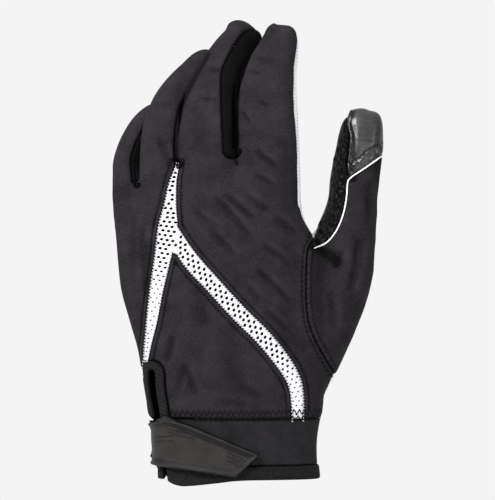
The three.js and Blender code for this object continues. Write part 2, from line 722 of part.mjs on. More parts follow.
const palmStart = (f) => (f.name === "pinky" ? f.back.to : 180 + GUSSET_HALF_ANGLE);
const palmEnd = (f) => (f.name === "index" ? 360 + f.back.from : 360 - GUSSET_HALF_ANGLE);
const backSpace = union([
  handWedge(0, HAND_SEAM),
  ...FINGERS.map((f) => fingerWedge(f, f.back.from, f.back.to)),
]);
const palmSpace = union([
  handWedge(HAND_SEAM, 360),
  ...FINGERS.map((f) => fingerWedge(f, palmStart(f), palmEnd(f))),
]);
const notBack = handSkin.subtract(widened(backSpace));
const back = handSkin.intersect(backSpace);
const palm = mainBody(notBack.intersect(palmSpace));
const gussets = notBack.subtract(widened(palmSpace));

// The binding's leg on the thumb's side ends on the hem; the other one shows below the strap
const slitMiddle = slitLine(0);
const besideSlit = prism([
  ...slitMiddle,
  { x: slitMiddle[slitMiddle.length - 1].x, z: CLEAR },
  { x: CLEAR, z: CLEAR },
  { x: CLEAR, z: slitMiddle[0].z },
]);
const hemRoom = bindingRoom.subtract(
  besideSlit.intersect(box([-CLEAR, CLEAR], [-CLEAR, CLEAR], [-CLEAR, HEM_HEIGHT])),
);
const legEnds = union([
  besideSlit.intersect(above(HEM_HEIGHT + SEAM_GAP)),
  above(0).subtract(besideSlit),
]);
const openBack = back.subtract(bindingRoom);
const mesh = mainBody(openBack.intersect(meshZone(0)));
const backPanels = openBack.subtract(meshZone(SEAM_GAP));

const cuffTube = hand(0).subtract(hand(-CUFF_WALL)).subtract(bindingRoom);
const cuff = cuffTube.intersect(
  box([-CLEAR, CLEAR], [-CLEAR, CLEAR], [HEM_HEIGHT + SEAM_GAP, CUFF_LENGTH]),
);
const hem = hand(HEM_BULGE)
  .subtract(hand(-CUFF_WALL))
  .subtract(hemRoom)
  .subtract(slit)
  .intersect(hemZone());
const binding = hand(BINDING_BULGE)
  .subtract(hand(-CLOTH))
  .intersect(bindingZone)
  .subtract(slit)
  .intersect(legEnds);
const strap = hand(strapInside + STRAP_WALL)
  .subtract(hand(strapInside))
  .intersect(union([strapFront, strapSide, strapPalm]));
const patch = hand(SEAM_GAP + PATCH_WALL)
  .subtract(hand(SEAM_GAP))
  .intersect(prism(onStrap(PATCH_OUTLINE).reverse(), -CLEAR, 0))
  .intersect(above(HEM_HEIGHT + SEAM_GAP));

const cap = thumbSkin.intersect(capZone(SEAM_GAP));
const piping = thumbSkin.intersect(pipingZone(0)).subtract(capZone(0));
const underCap = thumbSkin.subtract(capZone(0)).subtract(pipingZone(SEAM_GAP));
const thumbBack = underCap.intersect(thumbBackZone(0));
const thumbPalm = underCap.subtract(thumbBackZone(SEAM_GAP));

const material = (color, roughness) =>
  new THREE.MeshStandardMaterial({ color, roughness, metalness: 0 });
const materials = {
  knit: material(0x322f35, 0.95),
  gusset: material(0x1b1a1d, 0.9),
  mesh: material(0xf0f0f2, 0.8),
  grip: material(0xe2e3e6, 0.45),
  leather: material(0x161518, 0.4),
  cuff: material(0x242325, 0.85),
  moulded: material(0x2e2a28, 0.55),
};

const glove = new THREE.Group();

function add(name, made, material) {
  const body = mainBody(made).asOriginal().simplify(SEAM_GAP / 2);
  const { vertProperties, triVerts } = body.getMesh();
  const geometry = new THREE.BufferGeometry();
  geometry.setAttribute("position", new THREE.BufferAttribute(vertProperties, 3));
  geometry.setIndex(new THREE.BufferAttribute(triVerts, 1));
  const node = new THREE.Mesh(geometry, material);
  node.name = name;
  glove.add(node);
}

// The bodies of a cut, from the little finger's side to the thumb's, without crumbs
const crumb = (CLOTH * BINDING_WIDTH * STRAP_WIDTH) / 2;
function byPlace(made) {
  const centre = (body) => body.boundingBox().min[0] + body.boundingBox().max[0];
  return made
    .decompose()
    .filter((body) => body.volume() > crumb)
    .sort((a, b) => centre(a) - centre(b));
}

const [sidePanel, outerBack, wedge, innerBack] = byPlace(backPanels);
const [ringGusset, middleGusset, indexGusset] = byPlace(gussets);

add("inner_back_panel", innerBack, materials.knit);
add("outer_back_panel", outerBack, materials.knit);
add("wedge_panel", wedge, materials.knit);
add("slit_side_panel", sidePanel, materials.knit);
add("mesh_vent", mesh.subtract(meshHoles()), materials.mesh);
add("palm_panel", palm, materials.grip);
add("index_middle_gusset", indexGusset, materials.gusset);
add("middle_ring_gusset", middleGusset, materials.gusset);
add("ring_pinky_gusset", ringGusset, materials.gusset);
add("thumb_back_panel", thumbBack, materials.knit);
add("thumb_palm_panel", thumbPalm, materials.leather);
add("thumb_cap", cap, materials.leather);
add("thumb_piping", piping, materials.mesh);
add("cuff_band", cuff, materials.cuff);
add("cuff_hem", hem, materials.cuff);
add("slit_binding", binding, materials.cuff);
add("closure_strap", strap, materials.moulded);
add("hook_pad", patch, materials.moulded);

export default glove;
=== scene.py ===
"""A football receiver glove for the left hand, in knit, mesh, leather and moulded rubber."""

import json
import math

import bmesh
import bpy
import numpy as np
from mathutils import Matrix, Vector
from mathutils.bvhtree import BVHTree

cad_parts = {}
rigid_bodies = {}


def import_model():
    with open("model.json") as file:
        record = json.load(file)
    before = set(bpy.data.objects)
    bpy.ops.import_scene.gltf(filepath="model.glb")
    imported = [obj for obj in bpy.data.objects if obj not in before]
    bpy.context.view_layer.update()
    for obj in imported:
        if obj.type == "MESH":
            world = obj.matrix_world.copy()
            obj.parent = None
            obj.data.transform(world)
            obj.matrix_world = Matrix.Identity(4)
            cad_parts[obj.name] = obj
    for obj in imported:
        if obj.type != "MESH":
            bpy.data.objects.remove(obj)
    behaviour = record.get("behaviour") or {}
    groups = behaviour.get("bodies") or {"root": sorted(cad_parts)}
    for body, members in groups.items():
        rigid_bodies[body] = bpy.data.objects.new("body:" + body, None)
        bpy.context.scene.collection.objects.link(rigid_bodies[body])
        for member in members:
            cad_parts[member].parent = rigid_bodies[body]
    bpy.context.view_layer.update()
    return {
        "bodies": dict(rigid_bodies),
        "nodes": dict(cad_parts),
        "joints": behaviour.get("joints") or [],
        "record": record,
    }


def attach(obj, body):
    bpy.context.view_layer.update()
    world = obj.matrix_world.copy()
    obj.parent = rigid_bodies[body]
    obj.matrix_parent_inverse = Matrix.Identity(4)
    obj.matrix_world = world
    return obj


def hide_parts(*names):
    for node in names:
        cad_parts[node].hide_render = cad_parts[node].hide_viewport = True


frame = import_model()

# Sizes in millimetres, as in the solid model
MM = 0.001
HAND_LENGTH, HAND_WIDTH, HAND_DEPTH = 150, 89, 36
CLOTH = 1.5
CUFF_TOP, CUFF_WALL, HEM_HEIGHT, HEM_DIP = 28.5, 1.6, 6.6, 2.9
SLIT_WIDTH, SLIT_LENGTH, BINDING_WIDTH = 3, 51.5, 4.4
STRAP_LENGTH, STRAP_WIDTH, STRAP_WRAP = 52.5, 25.5, 24
GUSSET_HALF_ANGLE, HAND_SEAM = 32, 195
BOXINESS, TIP_EXPONENT = 2.4, 2.6
MESH_DEEPEST = 0.6 * HAND_DEPTH
SLIT_DEEPEST = -0.1 * HAND_DEPTH

# Sections of the hand: up, left, right, mid, depth, tilt, droop
HAND_ROWS = (
    (-0.04, -0.43, 0.425, 0, 1.14, 0, 0),
    (0, -0.435, 0.42, 0, 1.14, 0, 0),
    (0.06, -0.438, 0.411, 0, 1.11, 0, 0),
    (0.12, -0.445, 0.411, 0, 1.08, 0, 0),
    (0.178, -0.452, 0.425, 0, 1.08, 0, 0),
    (0.205, -0.486, 0.438, 0, 1.1, 0, 0),
    (0.25, -0.502, 0.447, 0.02, 1.12, 0.01, 0),
    (0.31, -0.519, 0.45, 0.03, 1.13, 0.02, 0),
    (0.405, -0.546, 0.45, 0.04, 1.12, 0.05, 0),
    (0.5, -0.592, 0.437, 0.05, 1.06, 0.08, 0),
    (0.6, -0.638, 0.42, 0.07, 1, 0.11, 0),
    (0.72, -0.66, 0.415, 0.09, 0.94, 0.14, 0),
    (0.8, -0.668, 0.408, 0.1, 0.88, 0.16, 0.04),
    (0.86, -0.672, 0.388, 0.11, 0.8, 0.17, 0.08),
    (0.91, -0.672, 0.365, 0.12, 0.68, 0.17, 0.115),
    (0.96, -0.66, 0.33, 0.13, 0.5, 0.17, 0.15),
    (1, -0.64, 0.29, 0.14, 0.34, 0.17, 0.18),
    (1.015, -0.6, 0.24, 0.14, 0.2, 0.17, 0.19),
)
INDEX_COURSE = (
    (-0.1, -0.01, 0.01, 1.06, 1.2, 0),
    (0, 0.004, 0.005, 1.1, 1.2, 0),
    (0.13, 0, 0, 1.05, 1.1, 0),
    (0.323, -0.012, 0.01, 1.05, 1, 0),
    (0.473, -0.015, 0.035, 1.03, 1, 2),
    (0.622, -0.018, 0.08, 1, 0.98, 4),
    (0.771, 0.002, 0.15, 0.86, 0.94, 6),
    (0.896, 0.036, 0.22, 0.7, 0.88, 8),
    (0.99, 0.062, 0.3, 0.5, 0.75, 8),
)
MIDDLE_COURSE = (
    (0, 0, 0, 1, 1.2, 8),
    (0.13, 0, 0.01, 1, 1.1, 12),
    (0.32, 0, 0.03, 1, 1, 18),
    (0.468, 0.005, 0.07, 1, 1, 22),
    (0.615, 0.018, 0.135, 0.97, 0.98, 26),
    (0.735, 0.045, 0.21, 0.86, 0.95, 30),
    (0.82, 0.098, 0.29, 0.77, 0.92, 32),
    (0.88, 0.155, 0.36, 0.7, 0.88, 34),
    (0.925, 0.22, 0.44, 0.64, 0.82, 34),
)
RING_COURSE = (
    (0, 0, 0, 1, 1.15, 24),
    (0.265, 0.006, 0.018, 1, 1.04, 30),
    (0.443, 0.009, 0.06, 1, 1, 36),
    (0.592, 0.024, 0.13, 0.97, 0.98, 38),
    (0.721, 0.067, 0.222, 0.93, 0.96, 40),
    (0.832, 0.142, 0.33, 0.9, 0.94, 40),
    (0.932, 0.24, 0.45, 0.86, 0.9, 40),
    (1, 0.345, 0.56, 0.8, 0.85, 40),
)
PINKY_COURSE = (
    (0, 0.035, -0.02, 0.96, 1.15, 30),
    (0.2, 0.006, 0.012, 1, 1.08, 36),
    (0.366, -0.006, 0.055, 1, 1.02, 40),
    (0.549, 0, 0.13, 1, 1, 45),
    (0.658, 0.023, 0.205, 0.98, 0.98, 47),
    (0.754, 0.06, 0.29, 0.95, 0.96, 48),
    (0.854, 0.116, 0.395, 0.9, 0.92, 48),
    (1, 0.235, 0.58, 0.8, 0.85, 48),
)
THUMB_COURSE = (
    (0, 0, 0, 0.95, 1.2, 0),
    (0.076, 0.018, 0.007, 1.22, 1.5, 0),
    (0.223, 0.073, 0.029, 1.4, 1.5, 0),
    (0.36, 0.114, 0.043, 1.56, 1.4, 0),
    (0.473, 0.148, 0.058, 1.5, 1.3, 0),
    (0.575, 0.18, 0.068, 1.23, 1.15, 0),
    (0.668, 0.2, 0.079, 1.03, 1.05, 0),
    (0.736, 0.206, 0.086, 0.99, 1, 0),
    (0.805, 0.216, 0.094, 0.97, 0.95, 0),
    (0.873, 0.227, 0.101, 0.93, 0.9, 0),
    (1, 0.237, 0.115, 0.84, 0.75, 0),
)
# Seams and outlines on the back of the hand: across, up and, where there is one, width
MESH_LEFT_LEG = (
    (-0.33, 1.046, 0.012), (-0.336, 0.985, 0.014), (-0.36, 0.893, 0.038),
    (-0.373, 0.787, 0.064), (-0.385, 0.68, 0.1), (-0.41, 0.543, 0.085), (-0.443, 0.391, 0.07),
    (-0.468, 0.239, 0.055), (-0.492, 0.117, 0.034), (-0.514, 0.003, 0.02),
    (-0.56, -0.066, 0.02),
)
MESH_RIGHT_LEG = (
    (-0.375, 0.8, 0.06), (-0.275, 0.7, 0.085), (-0.14, 0.61, 0.082), (0, 0.52, 0.082),
    (0.12, 0.45, 0.082), (0.223, 0.375, 0.08), (0.287, 0.31, 0.072), (0.305, 0.25, 0.066),
    (0.306, 0.18, 0.06),
)
THUMB_SEAM = (
    (0.41, 0.8), (0.39, 0.755), (0.36, 0.716), (0.352, 0.6), (0.36, 0.516), (0.39, 0.453),
    (0.454, 0.38), (0.53, 0.31),
)
THUMB_PIPING = (
    (0.395, 0.728), (0.459, 0.744), (0.507, 0.776), (0.539, 0.814), (0.56, 0.855),
    (0.571, 0.896), (0.576, 0.934), (0.594, 0.952), (0.683, 0.988), (0.8, 1.038),
)
CAP_CORNER = (0.545, 0.965)
SLIT_LINE = (
    (-0.385, -0.12, 0.5), (-0.395, 0.05, 0.5), (-0.41, 0.3, 0.6), (-0.44, 0.62, 0.85),
    (-0.461, 0.82, 1), (-0.468, 1, 1),
)
STRAP_FOLD = (-0.485, 0.019)
STRAP_SIDE = (0.26, 0.95)
STRAP_OUTLINE = (
    (0, 0.95), (0.08, 1.03), (0.171, 1.1), (0.975, 0.385), (0.996, 0.355), (0.99, 0.315),
    (0.81, -0.03), (0.78, -0.057), (0.74, -0.055), (0.171, 0.112), (0.072, 0.131), (0.02, 0.2),
    (0, 0.26),
)
PATCH_OUTLINE = (
    (0.3, 0.18), (0.3, 0.88), (0.88, 0.36), (0.78, 0.1),
)
HEM_EDGE = (
    (-0.43, -1.6), (-0.385, 0.2), (-0.33, 0.95), (-0.27, 1), (-0.12, 0.5), (0, 0.1), (0.2, 0),
    (0.6, 0),
)
# Fingers: name, root (across, deep, up), reach, width, depth, back from and to in degrees, course
FINGERS = (
    ("index", (0.171, 0, 0.801), 95.4, 27.5, 18, 22, 170, INDEX_COURSE),
    ("middle", (-0.167, 0.028, 0.801), 96.4, 26.5, 18, 49, 168, MIDDLE_COURSE),
    ("ring", (-0.443, 0.19, 0.801), 80.3, 18, 15.5, 8, 160, RING_COURSE),
    ("pinky", (-0.603, 0.333, 0.753), 65, 15, 13.5, 38, 200, PINKY_COURSE),
    ("thumb", (0.292, 0.083, 0.247), 138.8, 24, 20, 0, 180, THUMB_COURSE),
)


def at_x(column):
    """Where a column of the front view lies in X"""
    return (column - 240) * 0.475


def at_z(row):
    """Where a row of the front view lies in Z"""
    return (478 - row) * 0.475


def px(column, row):
    """A point of the front view, in X and Z"""
    return at_x(column), at_z(row)


def catmull(rows, share):
    """Rows of numbers as one smooth run of values, read at shares from 0 to 1"""
    rows = np.asarray(rows, float)
    spans = len(rows) - 1
    at = np.clip(np.atleast_1d(share) * spans, 0, spans - 1e-9)
    i = at.astype(int)
    w = (at - i)[:, None]
    more = np.vstack([2 * rows[0] - rows[1], rows, 2 * rows[-1] - rows[-2]])
    a, b, c, d = (more[i + k] for k in range(4))
    cube = 3 * (b - c) + d - a
    return 0.5 * (2 * b + (c - a) * w + (2 * a - 5 * b + 4 * c - d) * w**2 + cube * w**3)


def boxy(angles):
    """Points of a boxy ellipse of half width 1"""
    c, s = np.cos(angles), np.sin(angles)
    power = 2 / BOXINESS
    return np.sign(c) * np.abs(c) ** power, np.sign(s) * np.abs(s) ** power


def turn(sides):
    return np.arange(sides) * 2 * np.pi / sides


def hand_section(row, side, out):
    """Points of the hand, from a section's values and places on its boxy ellipse"""
    up, left, right, mid, depth, tilt, droop = row
    half = (right - left) * HAND_WIDTH / 2
    x = (right + left) * HAND_WIDTH / 2 + half * side
    y = mid * HAND_DEPTH - depth * HAND_DEPTH / 2 * out - tilt * half * side
    z = (up - droop * side * (side - 0.03)) * HAND_LENGTH
    return np.stack([x, y, z], -1)


def hand_rings(shares, sides):
    """Rings round the hand, at shares of its table"""
    side, out = boxy(turn(sides))
    return np.array([hand_section(row, side, out) for row in catmull(HAND_ROWS, shares)])


def unit(v):
    return v / np.linalg.norm(v, axis=-1, keepdims=True)


def run_along(line):
    """The distance travelled along a line, at each of its points"""
    return np.concatenate([[0], np.cumsum(np.hypot(*np.diff(line, axis=0).T))])


def leftward(line):
    """The direction to the left of a line, at each of its points"""
    way = unit(np.gradient(line, axis=0))
    return np.column_stack([-way[:, 1], way[:, 0]])


class Finger:
    """A finger's centre line with its frame and half sizes at many stations"""

    def __init__(self, root, reach, width, depth, start, end, course):
        self.start, self.end = start, end
        spans = len(course) - 1
        tip = spans - 1 + 0.999 * np.sin(np.linspace(0, np.pi / 2, 26))
        steps = np.concatenate([np.linspace(0, spans - 1, 64, endpoint=False), tip])
        rows = catmull(course, steps / spans)
        base = np.array([root[0] * HAND_WIDTH, root[1] * HAND_DEPTH, root[2] * HAND_LENGTH])
        self.centre = base + rows[:, (1, 2, 0)] * reach
        self.along = unit(np.gradient(self.centre, axis=0))
        into = np.clip(steps - spans + 1, 0, 1)
        close = (1 - into**TIP_EXPONENT) ** (1 / TIP_EXPONENT)
        self.half_width = rows[:, 3] * width / 2 * close
        self.half_depth = rows[:, 4] * depth / 2 * close
        front = np.array([0.0, -1.0, 0.0])
        out = unit(front - self.along * (self.along @ front)[:, None])
        side = np.cross(self.along, out)
        roll = np.radians(rows[:, 5])[:, None]
        self.out = out * np.cos(roll) - side * np.sin(roll)
        self.side = side * np.cos(roll) + out * np.sin(roll)

    def rings(self, sides):
        side, out = boxy(turn(sides))
        wide = self.half_width[:, None, None] * side[None, :, None] * self.side[:, None, :]
        deep = self.half_depth[:, None, None] * out[None, :, None] * self.out[:, None, :]
        return self.centre[:, None, :] + wide + deep

    def measure(self, points):
        """How far points lie outside the finger, and at what angle round it in degrees"""
        far = np.full(len(points), 1e9)
        nearest = np.zeros(len(points), int)
        for i in range(0, len(self.centre), 2):
            gap = ((points - self.centre[i]) ** 2).sum(1)
            closer = gap < far
            far[closer], nearest[closer] = gap[closer], i
        q = points - self.centre[nearest]
        wide = np.maximum(self.half_width[nearest], 1.0)
        deep = np.maximum(self.half_depth[nearest], 1.0)
        u = (q * self.side[nearest]).sum(1) / wide
        v = (q * self.out[nearest]).sum(1) / deep
        return ring_measure(u, v, np.minimum(wide, deep))


def ring_measure(u, v, size):
    """Distance outside a boxy ellipse and the angle round it, from scaled coordinates"""
    reach = (np.abs(u) ** BOXINESS + np.abs(v) ** BOXINESS) ** (1 / BOXINESS)
    safe = np.maximum(reach, 1e-6)
    power = BOXINESS / 2
    c = np.sign(u) * np.abs(u / safe) ** power
    s = np.sign(v) * np.abs(v / safe) ** power
    return (reach - 1) * size, np.degrees(np.arctan2(s, c)) % 360, size


def hand_measure(points):
    """The same for the hand"""
    table = catmull(HAND_ROWS, np.linspace(0, 1, 240))
    x, y, z = points.T
    up = z / HAND_LENGTH
    for _ in range(4):
        row = [np.interp(up, table[:, 0], table[:, k]) for k in range(7)]
        half = (row[2] - row[1]) * HAND_WIDTH / 2
        side = (x - (row[2] + row[1]) * HAND_WIDTH / 2) / half
        up = z / HAND_LENGTH + row[6] * np.clip(side * (side - 0.03), 0, 1.1)
    deep = row[4] * HAND_DEPTH / 2
    v = -(y - row[3] * HAND_DEPTH + row[5] * half * side) / deep
    over = np.maximum(up - HAND_ROWS[-1][0], 0) * HAND_LENGTH
    out, angle, size = ring_measure(side, v, np.minimum(half, deep))
    return out + over, angle, size


def wrap(bm, points):
    """Adds a closed tube through rings of points, in millimetres"""
    rings, sides = points.shape[:2]
    made = bmesh.ops.create_grid(bm, x_segments=sides, y_segments=rings - 1, size=1)["verts"]
    for v in made:
        i = round((v.co.x + 1) / 2 * sides) % sides
        j = round((v.co.y + 1) / 2 * (rings - 1))
        v.co = points[j, i] * MM
    bmesh.ops.remove_doubles(bm, verts=made, dist=1e-8)
    bmesh.ops.holes_fill(bm, edges=[e for e in bm.edges if e.is_boundary], sides=0)


def new_object(name, bm):
    """A smooth object from a bmesh, which is freed"""
    for face in bm.faces:
        face.smooth = True
    mesh = bpy.data.meshes.new(name)
    bm.to_mesh(mesh)
    bm.free()
    made = bpy.data.objects.new(name, mesh)
    bpy.context.scene.collection.objects.link(made)
    return made


def closed_object(name, bm):
    """The same for a closed shape, with its faces turned outwards"""
    bmesh.ops.recalc_face_normals(bm, faces=bm.faces)
    return new_object(name, bm)


def settle(thing):
    """Applies a piece's modifiers"""
    graph = bpy.context.evaluated_depsgraph_get()
    graph.update()
    mesh = bpy.data.meshes.new_from_object(thing.evaluated_get(graph))
    thing.modifiers.clear()
    old, thing.data = thing.data, mesh
    bpy.data.meshes.remove(old)
    return thing


def rise(low, high, value):
    """0 below low, 1 above high, smooth between"""
    t = np.clip((value - low) / (high - low), 0, 1)
    return t * t * (3 - 2 * t)


def bell(value, width):
    """1 at zero, fading to both sides"""
    return np.exp(-((value / width) ** 2))


class Surface:
    """A fine surface as arrays in millimetres, to be cut into panels"""

    def __init__(self, thing):
        bm = bmesh.new()
        bm.from_mesh(thing.data)
        bmesh.ops.triangulate(bm, faces=bm.faces)
        bmesh.ops.recalc_face_normals(bm, faces=bm.faces)
        self.mesh = bpy.data.meshes.new("surface")
        bm.to_mesh(self.mesh)
        bm.free()
        bpy.data.objects.remove(thing)
        self.count = len(self.mesh.vertices)
        self.edges = self.read("edges", "vertices", 2, int)
        self.faces = self.read("polygons", "vertices", 3, int)
        self.points = self.read("vertices", "co", 3, float) / MM
        # shade holds painted shade (above zero) and painted light on ridges (below zero), kept on
        # the mesh as a point attribute
        self.shade = np.zeros(self.count)
        self.mesh.attributes.new("painted_shade_and_light", "FLOAT", "POINT")
        self.refresh()

    def read(self, what, key, width, kind):
        items = getattr(self.mesh, what)
        values = np.zeros(len(items) * width, kind)
        items.foreach_get(key, values)
        return values.reshape(-1, width)

    def refresh(self):
        """Writes the points back and reads the normals"""
        self.mesh.vertices.foreach_set("co", (self.points * MM).ravel())
        self.mesh.update()
        self.normals = self.read("vertices", "normal", 3, float)

    def soften(self, weight, times):
        """Evens the surface out where weight is above zero"""
        a, b = self.edges.T
        degree = np.bincount(np.concatenate([a, b]), minlength=self.count)[:, None]
        for _ in range(times):
            total = np.stack(
                [
                    np.bincount(a, self.points[b, k], self.count)
                    + np.bincount(b, self.points[a, k], self.count)
                    for k in range(3)
                ],
                1,
            )
            self.points += weight[:, None] * 0.5 * (total / degree - self.points)
        self.refresh()

    def tree(self):
        return BVHTree.FromPolygons((self.points * MM).tolist(), self.faces.tolist())

    def carve(self, field, lift=None, least=60):
        """A bmesh for each island where field is above zero, cut cleanly where it is zero"""
        points, value = self.points.copy(), field.copy()
        a, b = self.edges.T
        cross = value[a] * value[b] < 0
        a, b = a[cross], b[cross]
        t = value[a] / (value[a] - value[b])
        first = t < 0.5
        near, far = np.where(first, a, b), np.where(first, b, a)
        share = np.where(first, t, 1 - t)
        order = np.argsort(-share)
        near, far, share = near[order], far[order], share[order]
        points[near] = self.points[near] + (self.points[far] - self.points[near]) * share[:, None]
        value[near] = 0
        if lift is not None:
            points += self.normals * np.asarray(lift(np.maximum(value, 0)))[:, None]
        keep = value[self.faces].sum(1) > 1e-9
        mesh = self.mesh.copy()
        mesh.vertices.foreach_set("co", (points * MM).ravel())
        # Each panel is painted darker towards its cut edge: painted shade where it sinks into its
        # seam
        shade = self.shade + 0.6 * (1 - np.clip(value / 0.9, 0, 1)) ** 2
        mesh.attributes["painted_shade_and_light"].data.foreach_set("value", shade)
        bm = bmesh.new()
        bm.from_mesh(mesh)
        bpy.data.meshes.remove(mesh)
        drop = [face for face, kept in zip(bm.faces, keep) if not kept]
        bmesh.ops.delete(bm, geom=drop, context="FACES")
        bmesh.ops.dissolve_degenerate(bm, dist=1e-6, edges=bm.edges)
        return islands(bm, least)


def islands(bm, least):
    """The separate pieces of a bmesh with at least so many faces, from low X to high X"""
    for face in bm.faces:
        face.tag = False
    groups = []
    for start in bm.faces:
        if start.tag:
            continue
        start.tag = True
        group, front = [start], [start]
        while front:
            for edge in front.pop().edges:
                for other in edge.link_faces:
                    if not other.tag:
                        other.tag = True
                        group.append(other)
                        front.append(other)
        if len(group) >= least:
            groups.append(group)
    groups.sort(key=lambda group: np.mean([f.verts[0].co.x for f in group[::20]]))
    for number, group in enumerate(groups):
        for face in group:
            face.material_index = number + 1
    parts = []
    for number in range(len(groups)):
        part = bm.copy()
        drop = [face for face in part.faces if face.material_index != number + 1]
        bmesh.ops.delete(part, geom=drop, context="FACES")
        for face in part.faces:
            face.material_index = 0
        parts.append(part)
    bm.free()
    return parts


def smooth_line(rows, steps=6):
    """A fine line through a few places"""
    return catmull(rows, np.linspace(0, 1, (len(rows) - 1) * steps + 1))


def beside(points, line):
    """Distance from a line in X and Z, which side is which, and the line's own third value"""
    flat = points[:, (0, 2)]
    far = np.full(len(points), 1e9)
    side = np.ones(len(points))
    third = np.zeros(len(points))
    for a, b in zip(line[:-1], line[1:]):
        d = b[:2] - a[:2]
        q = flat - a[:2]
        t = np.clip(q @ d / (d @ d), 0, 1)
        gap = np.hypot(*(q - t[:, None] * d).T)
        closer = gap < far
        far[closer] = gap[closer]
        side[closer] = np.sign(d[0] * q[closer, 1] - d[1] * q[closer, 0])
        if len(a) > 2:
            third[closer] = (a[2] + (b[2] - a[2]) * t)[closer]
    return far, side, third


def within(points, outline):
    """Distance inside an outline in X and Z, negative outside"""
    flat = points[:, (0, 2)]
    inside = np.zeros(len(points), bool)
    closed = np.vstack([outline, outline[:1]])
    for a, b in zip(closed[:-1], closed[1:]):
        if a[1] == b[1]:
            continue
        spans = (a[1] > flat[:, 1]) != (b[1] > flat[:, 1])
        reach = a[0] + (flat[:, 1] - a[1]) * (b[0] - a[0]) / (b[1] - a[1])
        inside ^= spans & (flat[:, 0] < reach)
    far = beside(points, closed)[0]
    return np.where(inside, far, -far)


# Finishes. Each effect is a node group that puts out a height and a mask
class Nodes:
    """A short hand for a node tree"""

    def __init__(self, tree):
        self.tree = tree

    def add(self, kind, values=(), **settings):
        node = self.tree.nodes.new(kind)
        for key, value in settings.items():
            setattr(node, key, value)
        for key, value in dict(values).items():
            if isinstance(value, bpy.types.NodeSocket):
                self.tree.links.new(value, node.inputs[key])
            else:
                node.inputs[key].default_value = value
        return node

    def math(self, operation, a, b=0.5, clamp=False):
        values = {0: a, 1: b}
        return self.add("ShaderNodeMath", values, operation=operation, use_clamp=clamp).outputs[0]

    def blend(self, one, much, other, little, clamp=False):
        """A weighted sum of two values"""
        parts = self.math("MULTIPLY", one, much), self.math("MULTIPLY", other, little)
        return self.math("ADD", *parts, clamp)

    def stretch(self, vector, by):
        values = {0: vector, 1: by}
        return self.add("ShaderNodeVectorMath", values, operation="MULTIPLY").outputs[0]

    def noise(self, vector, size, detail=3.0, roughness=0.55):
        values = {
            "Vector": vector,
            "Scale": 1 / (size * MM),
            "Detail": detail,
            "Roughness": roughness,
        }
        return self.add("ShaderNodeTexNoise", values).outputs[0]

    def cells(self, vector, size, random=1.0, feature="F1"):
        values = {"Vector": vector, "Scale": 1 / (size * MM), "Randomness": random}
        return self.add("ShaderNodeTexVoronoi", values, feature=feature).outputs["Distance"]

    def waves(self, vector, size, direction="X", bend=0.0):
        # a wave texture repeats every 20 / (2 pi) units at scale 1
        values = {"Vector": vector, "Scale": 0.314 / (size * MM), "Distortion": bend}
        made = self.add("ShaderNodeTexWave", values, bands_direction=direction)
        return made.outputs["Fac"]


def effect(build):
    """A node group from a function that builds its height and mask"""
    tree = bpy.data.node_groups.new(build.__name__.replace("_", " "), "ShaderNodeTree")
    tree.interface.new_socket("Vector", in_out="INPUT", socket_type="NodeSocketVector")
    for output in ("Height", "Mask"):
        tree.interface.new_socket(output, in_out="OUTPUT", socket_type="NodeSocketFloat")
    nodes = Nodes(tree)
    start = nodes.add("NodeGroupInput")
    height, mask = build(nodes, start.outputs["Vector"])
    nodes.add("NodeGroupOutput", {"Height": height, "Mask": mask})
    return tree


def knit_loops(n, vector):
    loops = n.cells(n.stretch(vector, (1.0, 1.0, 0.62)), 0.62, 0.35)
    ribs = n.waves(vector, 1.3, "DIAGONAL", 1.2)
    cloud = n.noise(vector, 7, 4)
    fine = n.noise(vector, 0.9, 2, 0.7)
    height = n.blend(n.blend(loops, -0.7, ribs, 0.25), 1, fine, 0.5)
    mask = n.math("MULTIPLY_ADD", fine, 0.75, clamp=True)
    mask.node.inputs[2].default_value = -0.15
    return height, n.blend(mask, 0.75, cloud, 0.35, True)


def mesh_weave(n, vector):
    threads = n.cells(vector, 0.55, 0.2)
    cloud = n.noise(vector, 5)
    return n.math("MULTIPLY", threads, -1.0), n.math("MULTIPLY", threads, cloud)


def leather_crinkle(n, vector):
    bent = n.noise(vector, 6, 3)
    creases = n.cells(n.stretch(vector, (1.0, 1.0, 0.7)), 2.6, 1.0, "DISTANCE_TO_EDGE")
    creases = n.math("POWER", n.math("MULTIPLY", creases, 2.2, True), 0.5)
    pores = n.noise(vector, 0.7, 3, 0.7)
    return n.blend(n.blend(creases, 0.8, pores, 0.3), 1, bent, 0.6), pores


def leather_smooth(n, vector):
    pores = n.noise(vector, 0.5, 3, 0.6)
    creases = n.noise(n.stretch(vector, (0.5, 0.5, 1.6)), 3.5, 4, 0.6)
    return n.blend(creases, 0.8, pores, 0.15), creases


def moulded_grain(n, vector):
    pores = n.noise(vector, 0.45, 3, 0.7)
    cloud = n.noise(vector, 8, 3)
    return pores, n.math("MULTIPLY", pores, cloud)


def tape_weave(n, vector):
    fine = n.noise(vector, 0.8, 2, 0.8)
    height = n.blend(n.waves(vector, 0.9, "DIAGONAL"), 0.6, fine, 1)
    return height, n.math("MULTIPLY", fine, fine)


def sponge_cloth(n, vector):
    fine = n.noise(vector, 0.55, 3, 0.7)
    cloud = n.noise(vector, 9, 3)
    return fine, n.math("MULTIPLY", fine, cloud)


def grip_film(n, vector):
    ribs = n.cells(n.stretch(vector, (1.0, 0.0, 1.0)), 1.6, 0.1)
    dots = n.math("LESS_THAN", ribs, 0.22)
    fine = n.noise(vector, 0.6, 2)
    return n.blend(ribs, -0.8, fine, 0.3), dots


KNIT_LOOPS, MESH_WEAVE = effect(knit_loops), effect(mesh_weave)
CRINKLE, SMOOTH_GRAIN = effect(leather_crinkle), effect(leather_smooth)
MOULDED, TAPE_WEAVE = effect(moulded_grain), effect(tape_weave)
SPONGE, FILM = effect(sponge_cloth), effect(grip_film)


